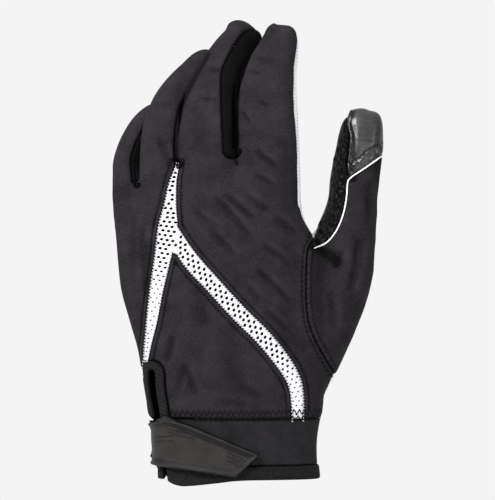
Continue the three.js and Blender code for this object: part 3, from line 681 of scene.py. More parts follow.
def finish(name, low, high, rough, group, depth, specular):
    """A material between two colours and two roughnesses, with a group's height as bump"""
    material = bpy.data.materials.new(name)
    material.use_nodes = True
    n = Nodes(material.node_tree)
    place = n.add("ShaderNodeTexCoord").outputs["Object"]
    made = n.add("ShaderNodeGroup", {"Vector": place}, node_tree=group)
    # The point attribute of painted shade and light darkens or lightens the colour
    painted_shade_and_light = n.add("ShaderNodeAttribute", attribute_name="painted_shade_and_light").outputs["Fac"]
    mask = n.math("SUBTRACT", made.outputs["Mask"], painted_shade_and_light, True)
    tint = n.add("ShaderNodeMix", {"Factor": mask}, data_type="RGBA")
    for socket in tint.inputs:
        if socket.type == "RGBA":
            socket.default_value = (*(low if socket.name == "A" else high), 1)
    colour = next(socket for socket in tint.outputs if socket.type == "RGBA")
    span = {"Value": made.outputs["Mask"], "To Min": rough[0], "To Max": rough[1]}
    roughness = n.add("ShaderNodeMapRange", span).outputs["Result"]
    relief = {"Strength": 1.0, "Distance": depth * MM, "Height": made.outputs["Height"]}
    bump = n.add("ShaderNodeBump", relief).outputs["Normal"]
    shader = material.node_tree.nodes["Principled BSDF"]
    for key, value in (("Base Color", colour), ("Roughness", roughness), ("Normal", bump)):
        material.node_tree.links.new(value, shader.inputs[key])
    shader.inputs["Specular IOR Level"].default_value = specular
    return material


def grey(level):
    return (level, level, level)


BLACK = grey(0.001)
DEEP_CHARCOAL, CHARCOAL = (0.0008, 0.0006, 0.0008), (0.034, 0.0285, 0.036)
SLOT_SHADE_GREY, CAP_PAINTED_HIGHLIGHT = (0.006, 0.0055, 0.006), (0.05, 0.048, 0.052)
MESH_SHADE, MESH_WHITE = (0.45, 0.45, 0.47), (0.86, 0.86, 0.88)
PALE_GRIP, GRIP_DOTS = (0.6, 0.61, 0.63), (0.36, 0.36, 0.38)
DEEP_LEATHER, LEATHER_BLACK = grey(0.0004), (0.0014, 0.0012, 0.0013)
DEEP_NEOPRENE, NEOPRENE_GREY = (0.002, 0.0018, 0.002), (0.036, 0.033, 0.037)
DEEP_RUBBER, RUBBER_GREY = (0.0015, 0.001, 0.0009), (0.046, 0.036, 0.033)
TAPE_GREY = (0.024, 0.022, 0.023)
# Each: name, dark and light colour, roughness from and to, effect, bump height, specular
KNIT = finish("charcoal knit", DEEP_CHARCOAL, CHARCOAL, (0.95, 0.8), KNIT_LOOPS, 0.35, 0.1)
# The side walls are coloured near black: painted shade of the slots between the fingers
SLOT_SHADE_CLOTH = finish("side wall cloth in painted shade", BLACK, SLOT_SHADE_GREY, (0.95, 0.85), KNIT_LOOPS, 0.2, 0.03)
VENT = finish("white mesh", MESH_SHADE, MESH_WHITE, (0.7, 0.8), MESH_WEAVE, 0.15, 0.2)
# Near black for the pieces' insides and rims and for the sheets sunk under seams and the vent:
# painted shade where the glove's inside shows
INSIDE_SHADE = finish("painted shade inside", BLACK, grey(0.003), (0.9, 0.9), SPONGE, 0.05, 0.05)
GRIP = finish("pale grip film", PALE_GRIP, GRIP_DOTS, (0.35, 0.5), FILM, 0.12, 0.4)
LEATHER = finish(
    "crinkled leather", DEEP_LEATHER, LEATHER_BLACK, (0.26, 0.5), CRINKLE, 0.7, 0.06
)
# The cap's lighter colour is a painted highlight on black leather
CAP = finish("smooth leather", BLACK, CAP_PAINTED_HIGHLIGHT, (0.28, 0.36), SMOOTH_GRAIN, 0.12, 0.28)
PIPING = finish("cut edge", grey(0.8), grey(0.6), (0.6, 0.7), SPONGE, 0.05, 0.2)
CUFF = finish("neoprene", DEEP_NEOPRENE, NEOPRENE_GREY, (0.85, 0.7), SPONGE, 0.15, 0.08)
TAPE = finish("hem tape", BLACK, TAPE_GREY, (0.9, 0.7), TAPE_WEAVE, 0.6, 0.12)
STRAP = finish("moulded strap", DEEP_RUBBER, RUBBER_GREY, (0.45, 0.6), MOULDED, 0.25, 0.2)
HOOKS = finish("hook tape", BLACK, grey(0.01), (0.9, 0.8), TAPE_WEAVE, 0.3, 0.1)
THREAD = finish("dark thread", BLACK, grey(0.003), (0.7, 0.6), TAPE_WEAVE, 0.05, 0.15)
FLOOR = finish("floor", grey(0.84), grey(0.86), (0.8, 0.85), SPONGE, 0.05, 0.2)


# The whole skin: tubes joined by a fine remesh, then evened out where fingers leave the hand
VOXEL = 0.7
FINGER = {name: Finger(*values) for name, *values in FINGERS}
bm = bmesh.new()
wrap(bm, hand_rings(np.linspace(0, 1, 110), 120))
for finger in FINGER.values():
    wrap(bm, finger.rings(64))
skin_thing = closed_object("skin", bm)
union = skin_thing.modifiers.new("union", "REMESH")
union.mode = "VOXEL"
union.voxel_size = VOXEL * MM
blend = skin_thing.modifiers.new("blend", "SMOOTH")
blend.factor = 0.5
blend.iterations = 4
skin = Surface(settle(skin_thing))

x, y, z = skin.points.T
roots = rise(104, 120, z) * (1 - rise(140, 150, z)) * (1 - rise(34, 42, x))
thumb_root = rise(34, 44, z) * (1 - rise(100, 112, z)) * rise(16, 28, x) * (1 - rise(50, 60, x))
skin.soften(roots, 70)
skin.soften(thumb_root, 50)
skin.soften(rise(18, 26, x) * rise(98, 106, z) * (1 - rise(132, 142, z)), 120)


def close_gap(left, right, low, high, overlap, widen=0.0):
    """Leans two fingers' facing sides together where daylight would show between them"""
    points = skin.points
    z = points[:, 2]
    out_left, angle_left, _ = FINGER[left].measure(points)
    out_right, angle_right, _ = FINGER[right].measure(points)
    facing_left = np.cos(np.radians(angle_left))
    facing_right = -np.cos(np.radians(angle_right))
    of_left = (np.abs(out_left) < 2) & (out_left < out_right) & (facing_left > 0.2)
    of_right = (np.abs(out_right) < 2) & (out_right < out_left) & (facing_right > 0.2)
    heights = np.arange(low - 6, high + 6, 1.5)
    gaps = []
    for height in heights:
        level = np.abs(z - height) < 1.0
        here, there = level & of_left, level & of_right
        if here.any() and there.any():
            gaps.append(points[there, 0].min() - points[here, 0].max())
        else:
            gaps.append(0.0)
    gaps = np.convolve(np.pad(np.maximum(gaps, 0), 2, "edge"), np.ones(5) / 5, "valid")
    shift = (np.interp(z, heights, gaps) + overlap) / 2
    ramp = rise(low, low + 8, z) * (1 - rise(high - 8, high, z))
    shift *= ramp
    points[:, 0] += np.where(of_left, (shift + widen * ramp) * rise(0.2, 0.8, facing_left), 0)
    points[:, 0] -= np.where(of_right, shift * rise(0.2, 0.8, facing_right), 0)
    skin.refresh()


def hand_core(x):
    """How deep the middle of the hand lies at a place across it"""
    return 0.12 * HAND_DEPTH + 0.17 * (-13 - x)


def square_off(middle, low, wide, tall, power, heads=(-9, -8)):
    """Fills out the corners of a round tip, seen from the front"""
    points = skin.points
    u = (points[:, 0] - middle) / wide
    v = np.maximum(points[:, 2] - low, 0) / tall
    on = (np.abs(u) < 1.35) & (v > 0) & (v < 1.5)
    u, v = np.where(on, u, 0.0), np.where(on, v, 1e-6)
    grow = np.hypot(u, v) / (np.abs(u) ** power + v**power) ** (1 / power)
    grow = 1 + np.where(on, grow - 1, 0.0) * (1 - rise(1.0, 1.35, np.abs(u)))
    points[:, 0] += (grow - 1) * u * wide
    points[:, 2] += (grow - 1) * v * tall * rise(*heads, u)
    skin.refresh()


# The middle finger's tip stands a little higher than its tube
TIP_STRETCH = 0.27
out, _, _ = FINGER["middle"].measure(skin.points)
other, _, _ = FINGER["index"].measure(skin.points)
own = rise(-0.8, 0.8, other - out)
skin.points[:, 2] += own * TIP_STRETCH * np.maximum(skin.points[:, 2] - at_z(60), 0)
skin.refresh()
# Thumb, index and middle tip: place in the front view, half width, height and squareness
TIPS = ((370, 140, 7.2, 14.6, 3.4, (-1, 0.4)), (282, 48, 7, 12, 2.5), (251, 48, 9.5, 13, 2.7))
for column, row, *shape in TIPS:
    square_off(at_x(column), at_z(row), *shape)
close_gap("middle", "index", 140, 208, 1.4)
close_gap("ring", "middle", 138, 196, 2.0, 0.7)
x, y, z = skin.points.T
# The hand is evened out on its front just below each slot
BELOW_SLOTS = ((237, 166), (181, 172), (141, 194))
for spot in BELOW_SLOTS:
    place = px(*spot)
    near = np.hypot(x - place[0], z - place[1])
    skin.soften((1 - rise(4, 8, near)) * (y < hand_core(x) + 4), 120)


def ripple(points, size, seed, stretch=(1, 1, 1)):
    """Soft waves about so many millimetres long, from -1 to 1"""
    rng = np.random.default_rng(seed)
    ways = unit(rng.normal(size=(9, 3))) * rng.uniform(0.7, 1.4, (9, 1)) * 2 * np.pi / size
    phases = rng.uniform(0, 2 * np.pi, 9)
    return np.sin(points * np.array(stretch) @ ways.T + phases).sum(1) / 4.5


# How much wider than given a fold is, and its ridge's height and place beside it
FOLD_SPREAD, RIDGE_HEIGHT, RIDGE_AWAY = 1.35, 0.55, 1.9


def folds(points, rows):
    """Folds pressed into the front, each with a soft ridge beside it"""
    total = np.zeros(len(points))
    for x0, y0, x1, y1, width, depth in rows:
        line = np.array([px(x0, y0), px(x1, y1)])
        far, side, _ = beside(points, line)
        length = np.linalg.norm(line[1] - line[0])
        width = width * FOLD_SPREAD
        ridge = RIDGE_HEIGHT * bell(far - RIDGE_AWAY * width, width) * (side > 0)
        run = (points[:, (0, 2)] - line[0]) @ (line[1] - line[0]) / length**2
        taper = np.sqrt(np.clip(1 - (2 * run - 1) ** 2, 0, 1))
        total += depth * (ridge - bell(far, width)) * taper
    return total


# Folds: both ends in the front view, width and depth
FOLDS = (
    # stitched channels and creases over the knuckles
    (262, 245, 290, 265, 1, 0.5),
    (257, 270, 290, 302, 1, 0.55),
    (265, 310, 287, 330, 1, 0.45),
    (243, 283, 262, 303, 1.1, 0.35),
    (260, 157, 277, 167, 0.9, 0.35),
    (255, 175, 275, 187, 0.9, 0.4),
    (215, 197, 250, 237, 1.1, 0.5),
    (192, 210, 222, 232, 1, 0.35),
    (225, 195, 255, 220, 1, 0.5),
    (240, 190, 268, 212, 1, 0.35),
    (203, 222, 236, 258, 1.1, 0.4),
    (272, 215, 296, 234, 1, 0.35),
    # fingers
    (242, 112, 250, 125, 0.8, 0.5),
    (255, 150, 275, 167, 0.9, 0.35),
    (260, 102, 270, 107, 0.8, 0.25),
    (257, 57, 272, 62, 0.8, 0.25),
    (205, 66, 222, 70, 0.9, 0.25),
    (198, 97, 219, 101, 0.9, 0.25),
    (248, 70, 262, 74, 0.8, 0.3),
    (158, 138, 166, 160, 1.1, 0.4),
    (166, 142, 170, 168, 0.9, 0.35),
    # little finger's side
    (141, 225, 146, 300, 1.3, 0.45),
    (150, 240, 150, 330, 1.3, 0.4),
    (132, 205, 134, 290, 1.4, 0.35),
    (146, 330, 149, 358, 1.1, 0.35),
    # wedge
    (173, 335, 167, 362, 1.3, 0.55),
    (183, 365, 178, 392, 1.2, 0.45),
    (184, 362, 196, 397, 1.2, 0.45),
    (240, 385, 262, 398, 1.4, 0.3),
    (215, 400, 246, 405, 1.3, 0.25),
    (207, 290, 222, 305, 1.3, 0.3),
    # thumb
    (360, 240, 356, 270, 1.5, 0.8),
    (356, 268, 350, 292, 1.4, 0.6),
    (371, 180, 369, 226, 1.3, 0.5),
    (343, 252, 334, 268, 1.3, 0.5),
    (350, 325, 343, 345, 1.2, 0.4),
    (330, 290, 334, 330, 1.4, 0.3),
)
# Seam lines in X and Z; a cut runs on far past the glove
BEYOND = 400
scale = np.array([HAND_WIDTH, HAND_LENGTH, HAND_WIDTH])
left_leg = np.array(MESH_LEFT_LEG, float)
left_leg[:, 1] = (SLIT_LENGTH + left_leg[:, 1] * (HAND_LENGTH - SLIT_LENGTH)) / HAND_LENGTH
left_leg = smooth_line(left_leg * scale)
right_leg = smooth_line(np.array(MESH_RIGHT_LEG) * scale)
thumb_seam = smooth_line(np.array(THUMB_SEAM) * scale[:2])
thumb_cut = np.vstack([[thumb_seam[0, 0], BEYOND], thumb_seam, [BEYOND, thumb_seam[-1, 1]]])
piping_line = smooth_line(np.array(THUMB_PIPING) * scale[:2])
cap_corner = np.array(CAP_CORNER) * scale[:2]
cap_part = piping_line[-13:]
cap_cut = np.vstack([cap_corner - (24, 0), cap_corner, cap_part, [BEYOND, cap_part[-1, 1]]])
thumb_back_cut = np.vstack(
    [[-BEYOND, piping_line[0, 1]], piping_line, [BEYOND, piping_line[-1, 1]]]
)
slit_line = smooth_line(
    np.array(SLIT_LINE) * (HAND_WIDTH, SLIT_LENGTH - SLIT_WIDTH / 2, SLIT_WIDTH / 2)
)
fold = np.array(STRAP_FOLD) * scale[:2]
strap_low, strap_high = (fold[1] + share * STRAP_WIDTH for share in STRAP_SIDE)


def on_strap(rows):
    """Shares of the strap's length and width as places in X and Z"""
    return fold + np.array(rows, float) * (STRAP_LENGTH, STRAP_WIDTH)


def slit_gap(points):
    """Distance outside the slit, and on which side of it"""
    far, side, half = beside(points, slit_line)
    return far - half, side


FORK, FORK_RADIUS, VENT_TOP = px(176.5, 247), 3.3, at_z(165)


def mesh_inside(points):
    """Distance inside the vent, seen from the front"""
    legs = []
    for leg in (left_leg, right_leg):
        far, _, width = beside(points, leg)
        legs.append(width / 2 - far)
    legs.append(FORK_RADIUS - np.hypot(points[:, 0] - FORK[0], points[:, 2] - FORK[1]))
    return np.minimum(np.maximum.reduce(legs), VENT_TOP - points[:, 2])


def strap_inside(points):
    """Distance inside the strap, which runs on round the wrist's left side"""
    left_end = [[-BEYOND, strap_low], [-BEYOND, strap_high]]
    outline = np.vstack([left_end, on_strap(STRAP_OUTLINE)])
    front = within(points, outline)
    x, y, z = points.T
    ends = np.minimum(z - strap_low, strap_high - z)
    round_side = np.minimum(ends, fold[0] + STRAP_WRAP - x)
    return np.where(y < 0, front, round_side)


# The wrist alone, finer, for what is sewn round it
bm = bmesh.new()
wrap(bm, hand_rings(np.linspace(0, 8 / 17, 132), 430))
wrist = Surface(closed_object("wrist", bm))


def measured(line, offset=0.0, steps=48):
    """A line in X and Z as fine points, moved to its left, with the run along it"""
    fine = catmull(np.asarray(line, float)[:, :2], np.linspace(0, 1, steps))
    fine = fine + offset * leftward(fine)
    return np.column_stack([fine, run_along(fine)])


def wave(run, pitch):
    return np.cos(run * 2 * np.pi / pitch)


CAP_DASHES = ((350, 163), (356, 160), (363, 155), (370, 148), (385, 142))
CAP_EDGE = ((348, 178), (346.5, 165), (348, 150), (349, 136), (346.5, 122), (350, 100))
SEAM_PITCH, CHAIN_PITCH, CHAIN_AWAY = 2.3, 1.7, 2.5
SEAM_ROWS = (-2.1, 2.3)  # distances of the stitches from the thumb's seam
cap_dashes = measured([px(*p) for p in CAP_DASHES])
cap_edge = smooth_line(np.array([px(*p) for p in CAP_EDGE]))
front = rise(0.0, 0.35, -skin.normals[:, 1])
P = skin.points
hit = 1.8 * folds(P, FOLDS)
hit += 0.3 * ripple(P, 19, 3) + 0.12 * ripple(P, 6.5, 4, (1, 1, 0.6))
# Two rows of stitches with puckers along the thumb's seam
far, side, run = beside(P, measured(thumb_seam))
signed = far * side
on_row = rise(-1, 1, run) * (1 - rise(run.max() - 1, run.max(), run))
puckers = 0.22 * wave(run, SEAM_PITCH) + 0.12 * np.cos(run * 2 * np.pi / 3.7 + signed)
hit += on_row * (puckers + 0.25) * bell(far - 1.0, 1.1)
dashes = 0.55 + 0.45 * wave(run, SEAM_PITCH)
# Painted shade in the grooves of the stitch rows, under the dark thread
stitch_groove_shade = on_row * dashes * (bell(signed + 2.1, 0.5) + 0.7 * bell(signed - 2.4, 0.5))
hit -= 0.45 * stitch_groove_shade
# Overlocked edges beside the mesh
edge = -mesh_inside(P)
for leg in (left_leg, right_leg):
    far, _, run = beside(P, measured(leg))
    own = (edge > -0.6) & (edge < 5) & (far < 8)
    bumps = 0.1 * wave(run, CHAIN_PITCH) + 0.22
    hit += own * bumps * bell(edge - 1.1, 0.7)
    hit -= own * 0.3 * bell(edge - CHAIN_AWAY, 0.5)
    # Painted shade in the groove of the chain stitches
    stitch_groove_shade += own * (0.6 + 0.4 * wave(run, CHAIN_PITCH)) * bell(edge - CHAIN_AWAY, 0.45)
# The thumb's cap: a sewn band along its lower edge and a rolled edge on its left
far, side, _ = beside(P, cap_dashes)
on_cap = (P[:, 0] > at_x(345)) & (P[:, 2] > at_z(182))
hit -= on_cap * 0.45 * bell(far, 0.5)
# Painted shade in the groove of the cap's dashes
stitch_groove_shade += on_cap * bell(far, 0.5)
under = on_cap * rise(0.2, 1.2, -far * side) * (1 - rise(6, 8, far))
hit += under * (0.3 * ripple(P, 3.2, 8) + 0.25)
far, side, _ = beside(P, cap_edge)
# Painted shade in the valley beside the cap's rolled edge
stitch_groove_shade += on_cap * 1.2 * bell(-far * side - 2.6, 1.1)
hit -= on_cap * 0.35 * bell(-far * side - 3.0, 1.0)
hit += (P[:, 2] > at_z(178)) * (P[:, 0] > at_x(335)) * 0.45 * bell(far * side + 1.3, 0.7)
# Crinkled leather below and left of the cap
far, side, _ = beside(P, thumb_back_cut)
leather = (P[:, 0] > at_x(312)) * rise(0.5, 2, far * side) * (P[:, 2] > 100)
hit += leather * 0.38 * ripple(P, 3.4, 6, (1.0, 1.0, 0.8)) * (1 - on_cap)
# Painted shade on the cap: a dark band left of its middle, its right side turned from the light,
# and the band under the dashes
painted_shade = 0.5 * on_cap * rise(at_x(358), at_x(350), P[:, 0])
painted_shade += 0.25 * on_cap * rise(at_x(371), at_x(383), P[:, 0]) + 0.18 * under
# Painted shade: a dark line in the slot between ring and middle finger, and a painted shadow
# below the thumb's crotch
# Each: line in the front view, width and strength
PAINTED_SHADE_LINES = (
    (((207, 52), (199, 67), (191.5, 82), (183, 100), (179.5, 110)), 1.0, 1.1),
    (((318, 248), (328, 254), (338, 263)), 2.6, 0.45),
)
for line, width, strength in PAINTED_SHADE_LINES:
    far, _, _ = beside(P, measured([px(*p) for p in line]))
    painted_shade += strength * bell(far, width)
level = rise(CUFF_TOP, CUFF_TOP + 5, P[:, 2])
skin.points += skin.normals * (hit * front * level)[:, None]
# On the front above the cuff: painted shade in folds and grooves and painted light on ridges,
# together with the painted shade and stitch grooves above
skin.shade = (np.clip(-0.24 * hit, -0.1, 0.15) + painted_shade + 0.5 * stitch_groove_shade) * front * level
skin.refresh()


# What each point of the skin belongs to, as distances inside in millimetres
P = skin.points
x, y, z = P.T
hand_out, hand_angle, hand_size = hand_measure(P)
NEAR = 2.2  # how far off a tube its cloth may lie
slack = NEAR + 16 * rise(-2, 4, x) * (1 - rise(116, 124, z))


def sector(angle, start, end, size):
    """Distance inside a sector of a tube, along its surface"""
    middle = (start + end) / 2
    turned = (angle - middle + 180) % 360 - 180
    return ((end - start) / 2 - np.abs(turned)) * np.pi / 180 * size


# The side walls' layer in the hand's middle, above the crotches between the fingers
CORE_DEPTH = 0.16 * HAND_DEPTH
CROTCHES = ((-60, 118), (-50, 124), (-45, 127), (-29.9, 137), (-4.3, 140), (12, 140))
core_middle = hand_core(x)
core = np.minimum(CORE_DEPTH - np.abs(y - core_middle), z - np.interp(x, *np.array(CROTCHES).T))
hand_back = sector(hand_angle, 0, HAND_SEAM, hand_size)
hand_palm = sector(hand_angle, HAND_SEAM, 360, hand_size)
in_hand = np.minimum(slack - hand_out, -core)
back, palm = np.minimum(hand_back, in_hand), np.minimum(hand_palm, in_hand)
# The angles at which a finger's back panel starts, from height to height
SEAM_TURNS = {
    "middle": ((160, 49), (180, 56), (194, 66), (206, 80), (214, 88)),
    "pinky": ((136, 24), (146, 33), (150, 38)),
}
reads = {name: FINGER[name].measure(P) for name in ("index", "middle", "ring", "pinky")}
for name, (out, angle, size) in reads.items():
    finger = FINGER[name]
    nearest = np.minimum.reduce([other[0] for key, other in reads.items() if key != name])
    palm_from = finger.end if name == "pinky" else 180 + GUSSET_HALF_ANGLE
    palm_to = 360 + (finger.start if name == "index" else -GUSSET_HALF_ANGLE)
    near = np.minimum(NEAR + 6 * rise(180, 200, z) - out, z - finger.centre[0, 2])
    near = np.minimum(near, nearest - out + 1.5)
    start = np.interp(z, *np.array(SEAM_TURNS[name]).T) if name in SEAM_TURNS else finger.start
    back = np.maximum(back, np.minimum(sector(angle, start, finger.end, size), near))
    palm = np.maximum(palm, np.minimum(sector(angle, palm_from, palm_to, size), near))

# Round lower ends of the slots: place in the front view and radius
SLOT_ENDS = (((231.8, 150), 4.1), ((178.8, 163.5), 1.9), ((136.3, 184), 1.4))
for spot, radius in SLOT_ENDS:
    middle = px(*spot)
    round_end = np.hypot(x - middle[0], np.minimum(z - middle[1], 0)) - radius
    below = (z < middle[1] + 0.5) & (np.abs(x - middle[0]) < radius + 8) & (y < core_middle + 1.5)
    back = np.where(below, np.minimum(round_end, -hand_palm), back)


def beyond(line):
    """Distance from a line to its left"""
    far, side, _ = beside(P, line)
    return far * side


on_thumb = beyond(thumb_cut)
in_cap = np.minimum(beyond(cap_cut), -beyond(cap_edge))
thumb_middle = np.interp(z, FINGER["thumb"].centre[:, 2], FINGER["thumb"].centre[:, 1])
thumb_back = np.minimum(-beyond(thumb_back_cut), thumb_middle - y)
gap, slit_side = slit_gap(P)
clear_of_slit = np.maximum(gap - BINDING_WIDTH - 0.1, y - SLIT_DEEPEST)
vent = np.minimum(mesh_inside(P), MESH_DEEPEST - y)
above_cuff = z - CUFF_TOP - 0.2
hand_only = np.minimum(above_cuff, -on_thumb)
FRINGE = 0.05  # half of the hairline between two panels


def inset(*fields):
    """Inside all the fields, less the hairline"""
    return np.minimum.reduce(fields) - FRINGE


def pillow(depth, width):
    """Sinks a panel's edge into its seam"""
    return lambda inside: -depth * (1 - np.clip(inside / width, 0, 1)) ** 2


def sunk(depth):
    """Lays a whole piece below the surface"""
    return lambda inside: np.full(len(inside), -depth)


def roll(height, width):
    """Lifts a piece and rounds its edge"""
    return lambda inside: height * np.sqrt(1 - (1 - np.clip(inside / width, 0, 1)) ** 2)


def enter(thing, node):
    """Enters a piece with the frame, in place of a node where there is one"""
    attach(thing, "root")
    if node:
        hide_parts(node)


def panel(name, part, node, material, wall=CLOTH):
    """A piece with a wall, dark on the inside and at its rims, in painted shade"""
    thing = new_object(name, part)
    thing.data.materials.clear()
    thing.data.materials.append(material)
    thing.data.materials.append(INSIDE_SHADE)
    shell = thing.modifiers.new("wall", "SOLIDIFY")
    shell.thickness = wall * MM
    shell.offset = -1
    shell.material_offset = 1
    shell.material_offset_rim = 1
    enter(thing, node)
    return thing


def pick(parts, column, row):
    """The island with the point that lies nearest to a place in the front view"""
    place = px(column, row)

    def far(part):
        points = np.array([vert.co for vert in part.verts]) / MM
        away = np.hypot(points[:, 0] - place[0], points[:, 2] - place[1])
        return (away + np.maximum(points[:, 1], 0)).min()

    return min([part for part in parts if part.is_valid], key=far)


def join(parts):
    """Several islands as one bmesh"""
    whole = bmesh.new()
    for part in parts:
        mesh = bpy.data.meshes.new("part")
        part.to_mesh(mesh)
        part.free()
        whole.from_mesh(mesh)
        bpy.data.meshes.remove(mesh)
    return whole


seam = pillow(0.55, 1.6)


def largest(field):
    """The largest island of the skin where field is above zero"""
    return max(skin.carve(field, seam), key=lambda part: len(part.faces))


backs = skin.carve(inset(hand_only, back, -vent, clear_of_slit), seam)
# Each: name, node and a place on it in the front view
BACKS = (
    ("outer_back", "outer_back_panel", 148, 250),
    ("side_strip", "slit_side_panel", 147, 380),
    ("wedge", "wedge_panel", 210, 360),
    ("inner_back", "inner_back_panel", 270, 300),
)
for name, node, *place in BACKS:
    panel(name, pick(backs, *place), node, KNIT)
vent_field = inset(hand_only, back, vent, clear_of_slit)
vents = skin.carve(vent_field, pillow(0.35, 0.9))
vent_piece = panel("vent", join(vents), "mesh_vent", VENT, 0.7)
SHADE_SHEET_WALL = 0.3
# A black sheet sunk under the vent, so that its holes show painted shade
lining = skin.carve(vent_field + 0.5, sunk(1.1))
panel("vent_shade_sheet", lining[-1], None, INSIDE_SHADE, SHADE_SHEET_WALL)


def leg_frame(leg, step):
    """Points along a leg of the mesh at even steps, with its direction and width"""
    fine = catmull(leg, np.linspace(0, 1, 400))
    run = run_along(fine[:, :2])
    at = np.arange(step / 2, run[-1], step)
    rows = np.stack([np.interp(at, run, fine[:, k]) for k in range(3)], 1)
    return rows[:, :2], unit(np.gradient(rows[:, :2], axis=0)), rows[:, 2]


# The vent's holes, smaller towards the cuff
HOLE_PITCH, HOLE_ROWS, HOLE_LONG, HOLE_TALL, HOLE_SIDES = 2.15, 2.7, 1.55, 1.15, 10
NARROWEST, WIDE_ENOUGH, HOLE_APART, HOLE_EDGE = 1.9, 3.6, 1.9, 0.75
LARGEST_HOLE, HOLE_SHRINK, HOLE_LEAN = 1.15, 0.55, 0.25
PUNCH_DEPTH, PUNCH_REACH = -25, 30
bm = bmesh.new()
taken = []
upright = Matrix.Rotation(math.pi / 2, 4, "X")
for leg, fade in ((left_leg, (-110, -85)), (right_leg, (-62, -42))):
    middles, ways, widths = leg_frame(leg, HOLE_PITCH)
    for number, (middle, way, width) in enumerate(zip(middles, ways, widths)):
        across = np.array([-way[1], way[0]])
        rows = int((width - NARROWEST) / HOLE_ROWS + 1)
        offsets = (np.arange(rows) - (rows - 1) / 2) * HOLE_ROWS
        if rows > 1 or width > WIDE_ENOUGH:
            offsets = offsets + (0.25 if number % 2 else -0.25) * HOLE_ROWS
        for offset in offsets if width > NARROWEST else ():
            place = middle + across * offset
            spot = np.array([[place[0], 0.0, place[1]]])
            if abs(offset) > width / 2 - HOLE_EDGE and mesh_inside(spot)[0] < HOLE_EDGE + 0.1:
                continue
            if any(np.hypot(*(place - other)) < HOLE_APART for other in taken):
                continue
            taken.append(place)
            angle = math.atan2(across[1], across[0]) + HOLE_LEAN
            spin = Matrix.Rotation(-angle, 4, "Y")
            base = Matrix.Translation(Vector((place[0], PUNCH_DEPTH, place[1])) * MM)
            size = LARGEST_HOLE - HOLE_SHRINK * rise(*fade, -place[1])
            long, tall = HOLE_LONG / 2 * size * MM, HOLE_TALL / 2 * size * MM
            flat = Matrix.Diagonal((long, PUNCH_REACH * MM, tall, 1))
            bmesh.ops.create_cone(
                bm,
                cap_ends=True,
                segments=HOLE_SIDES,
                radius1=1,
                radius2=1,
                depth=2,
                matrix=base @ spin @ flat @ upright,
            )
punch = closed_object("punch", bm)
holes = vent_piece.modifiers.new("holes", "BOOLEAN")
holes.operation = "DIFFERENCE"
holes.solver = "MANIFOLD"
holes.object = punch
settle(vent_piece)
bpy.data.objects.remove(punch)
panel("palm", largest(inset(hand_only, palm, -back)), "palm_panel", GRIP)
gussets = skin.carve(inset(hand_only, -back, -palm), seam)
walls = {"ring_pinky": [], "middle_ring": [], "index_middle": []}
for part in gussets:
    across, _, height = np.mean([vert.co for vert in part.verts], axis=0) / MM
    where = np.searchsorted((at_x(160), at_x(208), at_x(270)), across)
    if where < len(walls) and height > 100:
        list(walls.values())[where].append(part)
for name, parts in walls.items():
    panel(name + "_side_wall", join(parts), name + "_gusset", SLOT_SHADE_CLOTH)
THUMB_PARTS = (
    ("thumb_back", thumb_back, -in_cap, "thumb_back_panel", "back_knit", KNIT),
    ("thumb_palm", -thumb_back, -in_cap, "thumb_palm_panel", "thumb_leather", LEATHER),
    ("thumb_tip", in_cap, on_thumb, "thumb_cap", "cap_leather", CAP),
)
for name, one, other, node, slot, material in THUMB_PARTS:
    panel(name, largest(inset(on_thumb, one, other, above_cuff)), node, material)

# Dark strips sunk under the thumb's seam, so that its hairline shows painted shade
SHADE_STRIP_REACH = 2.0
for part in skin.carve(np.minimum(SHADE_STRIP_REACH - np.abs(on_thumb), above_cuff - 1), sunk(1.0)):
    panel("seam_shade_strip", part, None, INSIDE_SHADE, SHADE_SHEET_WALL)


def round_wrist(name, field, lift, node, material, wall):
    """A piece sewn round the wrist, where field is above zero"""
    panel(name, wrist.carve(field, lift)[-1], node, material, wall)


W = wrist.points
x, y, z = W.T
gap, slit_side = slit_gap(W)
room = np.maximum(gap - BINDING_WIDTH - 0.1, y - SLIT_DEEPEST)
cuff = np.minimum.reduce([z - HEM_HEIGHT - 0.2, CUFF_TOP - z, room])
round_wrist("cuff", cuff, pillow(0.2, 1.0), "cuff_band", CUFF, CUFF_WALL)
# Dark strips sunk under the seams at the cuff's top and at the hem, so that their hairlines show
# painted shade
joint = np.minimum(2.5 - np.abs(z - CUFF_TOP), room)
round_wrist("cuff_shade_strip", joint, sunk(1.9), None, INSIDE_SHADE, SHADE_SHEET_WALL)
joint = np.minimum(1.6 - np.abs(z - HEM_HEIGHT), room)
round_wrist("hem_tape", joint, sunk(1.2), None, INSIDE_SHADE, 0.5)
hem_edge = smooth_line(np.array(HEM_EDGE, float) * (HAND_WIDTH, -HEM_DIP))
hem_low = np.interp(x, hem_edge[:, 0], hem_edge[:, 1])
left_side = slit_side > 0
hem_room = np.where(left_side, room, np.maximum(gap, y - SLIT_DEEPEST))
hem = np.minimum.reduce([HEM_HEIGHT - z, z - hem_low, hem_room])
round_wrist("hem", hem, roll(0.8, 1.2), "cuff_hem", TAPE, CUFF_WALL + 0.8)
legs = np.where(left_side, z, z - HEM_HEIGHT - 0.3)
binding = np.minimum.reduce([BINDING_WIDTH - gap, gap, SLIT_DEEPEST - y, legs])
round_wrist("slit_edging", binding, roll(0.7, 1.4), "slit_binding", TAPE, CLOTH + 0.7)

# Ridges on the strap: both ends of the first in the front view, how many, how far apart
RIDGES = (
    ((228, 450), (246, 459), 3, 1.9),
    ((172, 427), (196, 433), 2, 1.7),
    ((160, 436), (176, 434), 2, 2.2),
)
strap = strap_inside(W)
ridges = np.zeros(len(W))
for start, end, count, step in RIDGES:
    for number in range(count):
        far, _, _ = beside(W, np.array([px(*start), px(*end)]) - (0, number * step))
        ridges += 0.35 * bell(far, 0.45) * (y < 0)


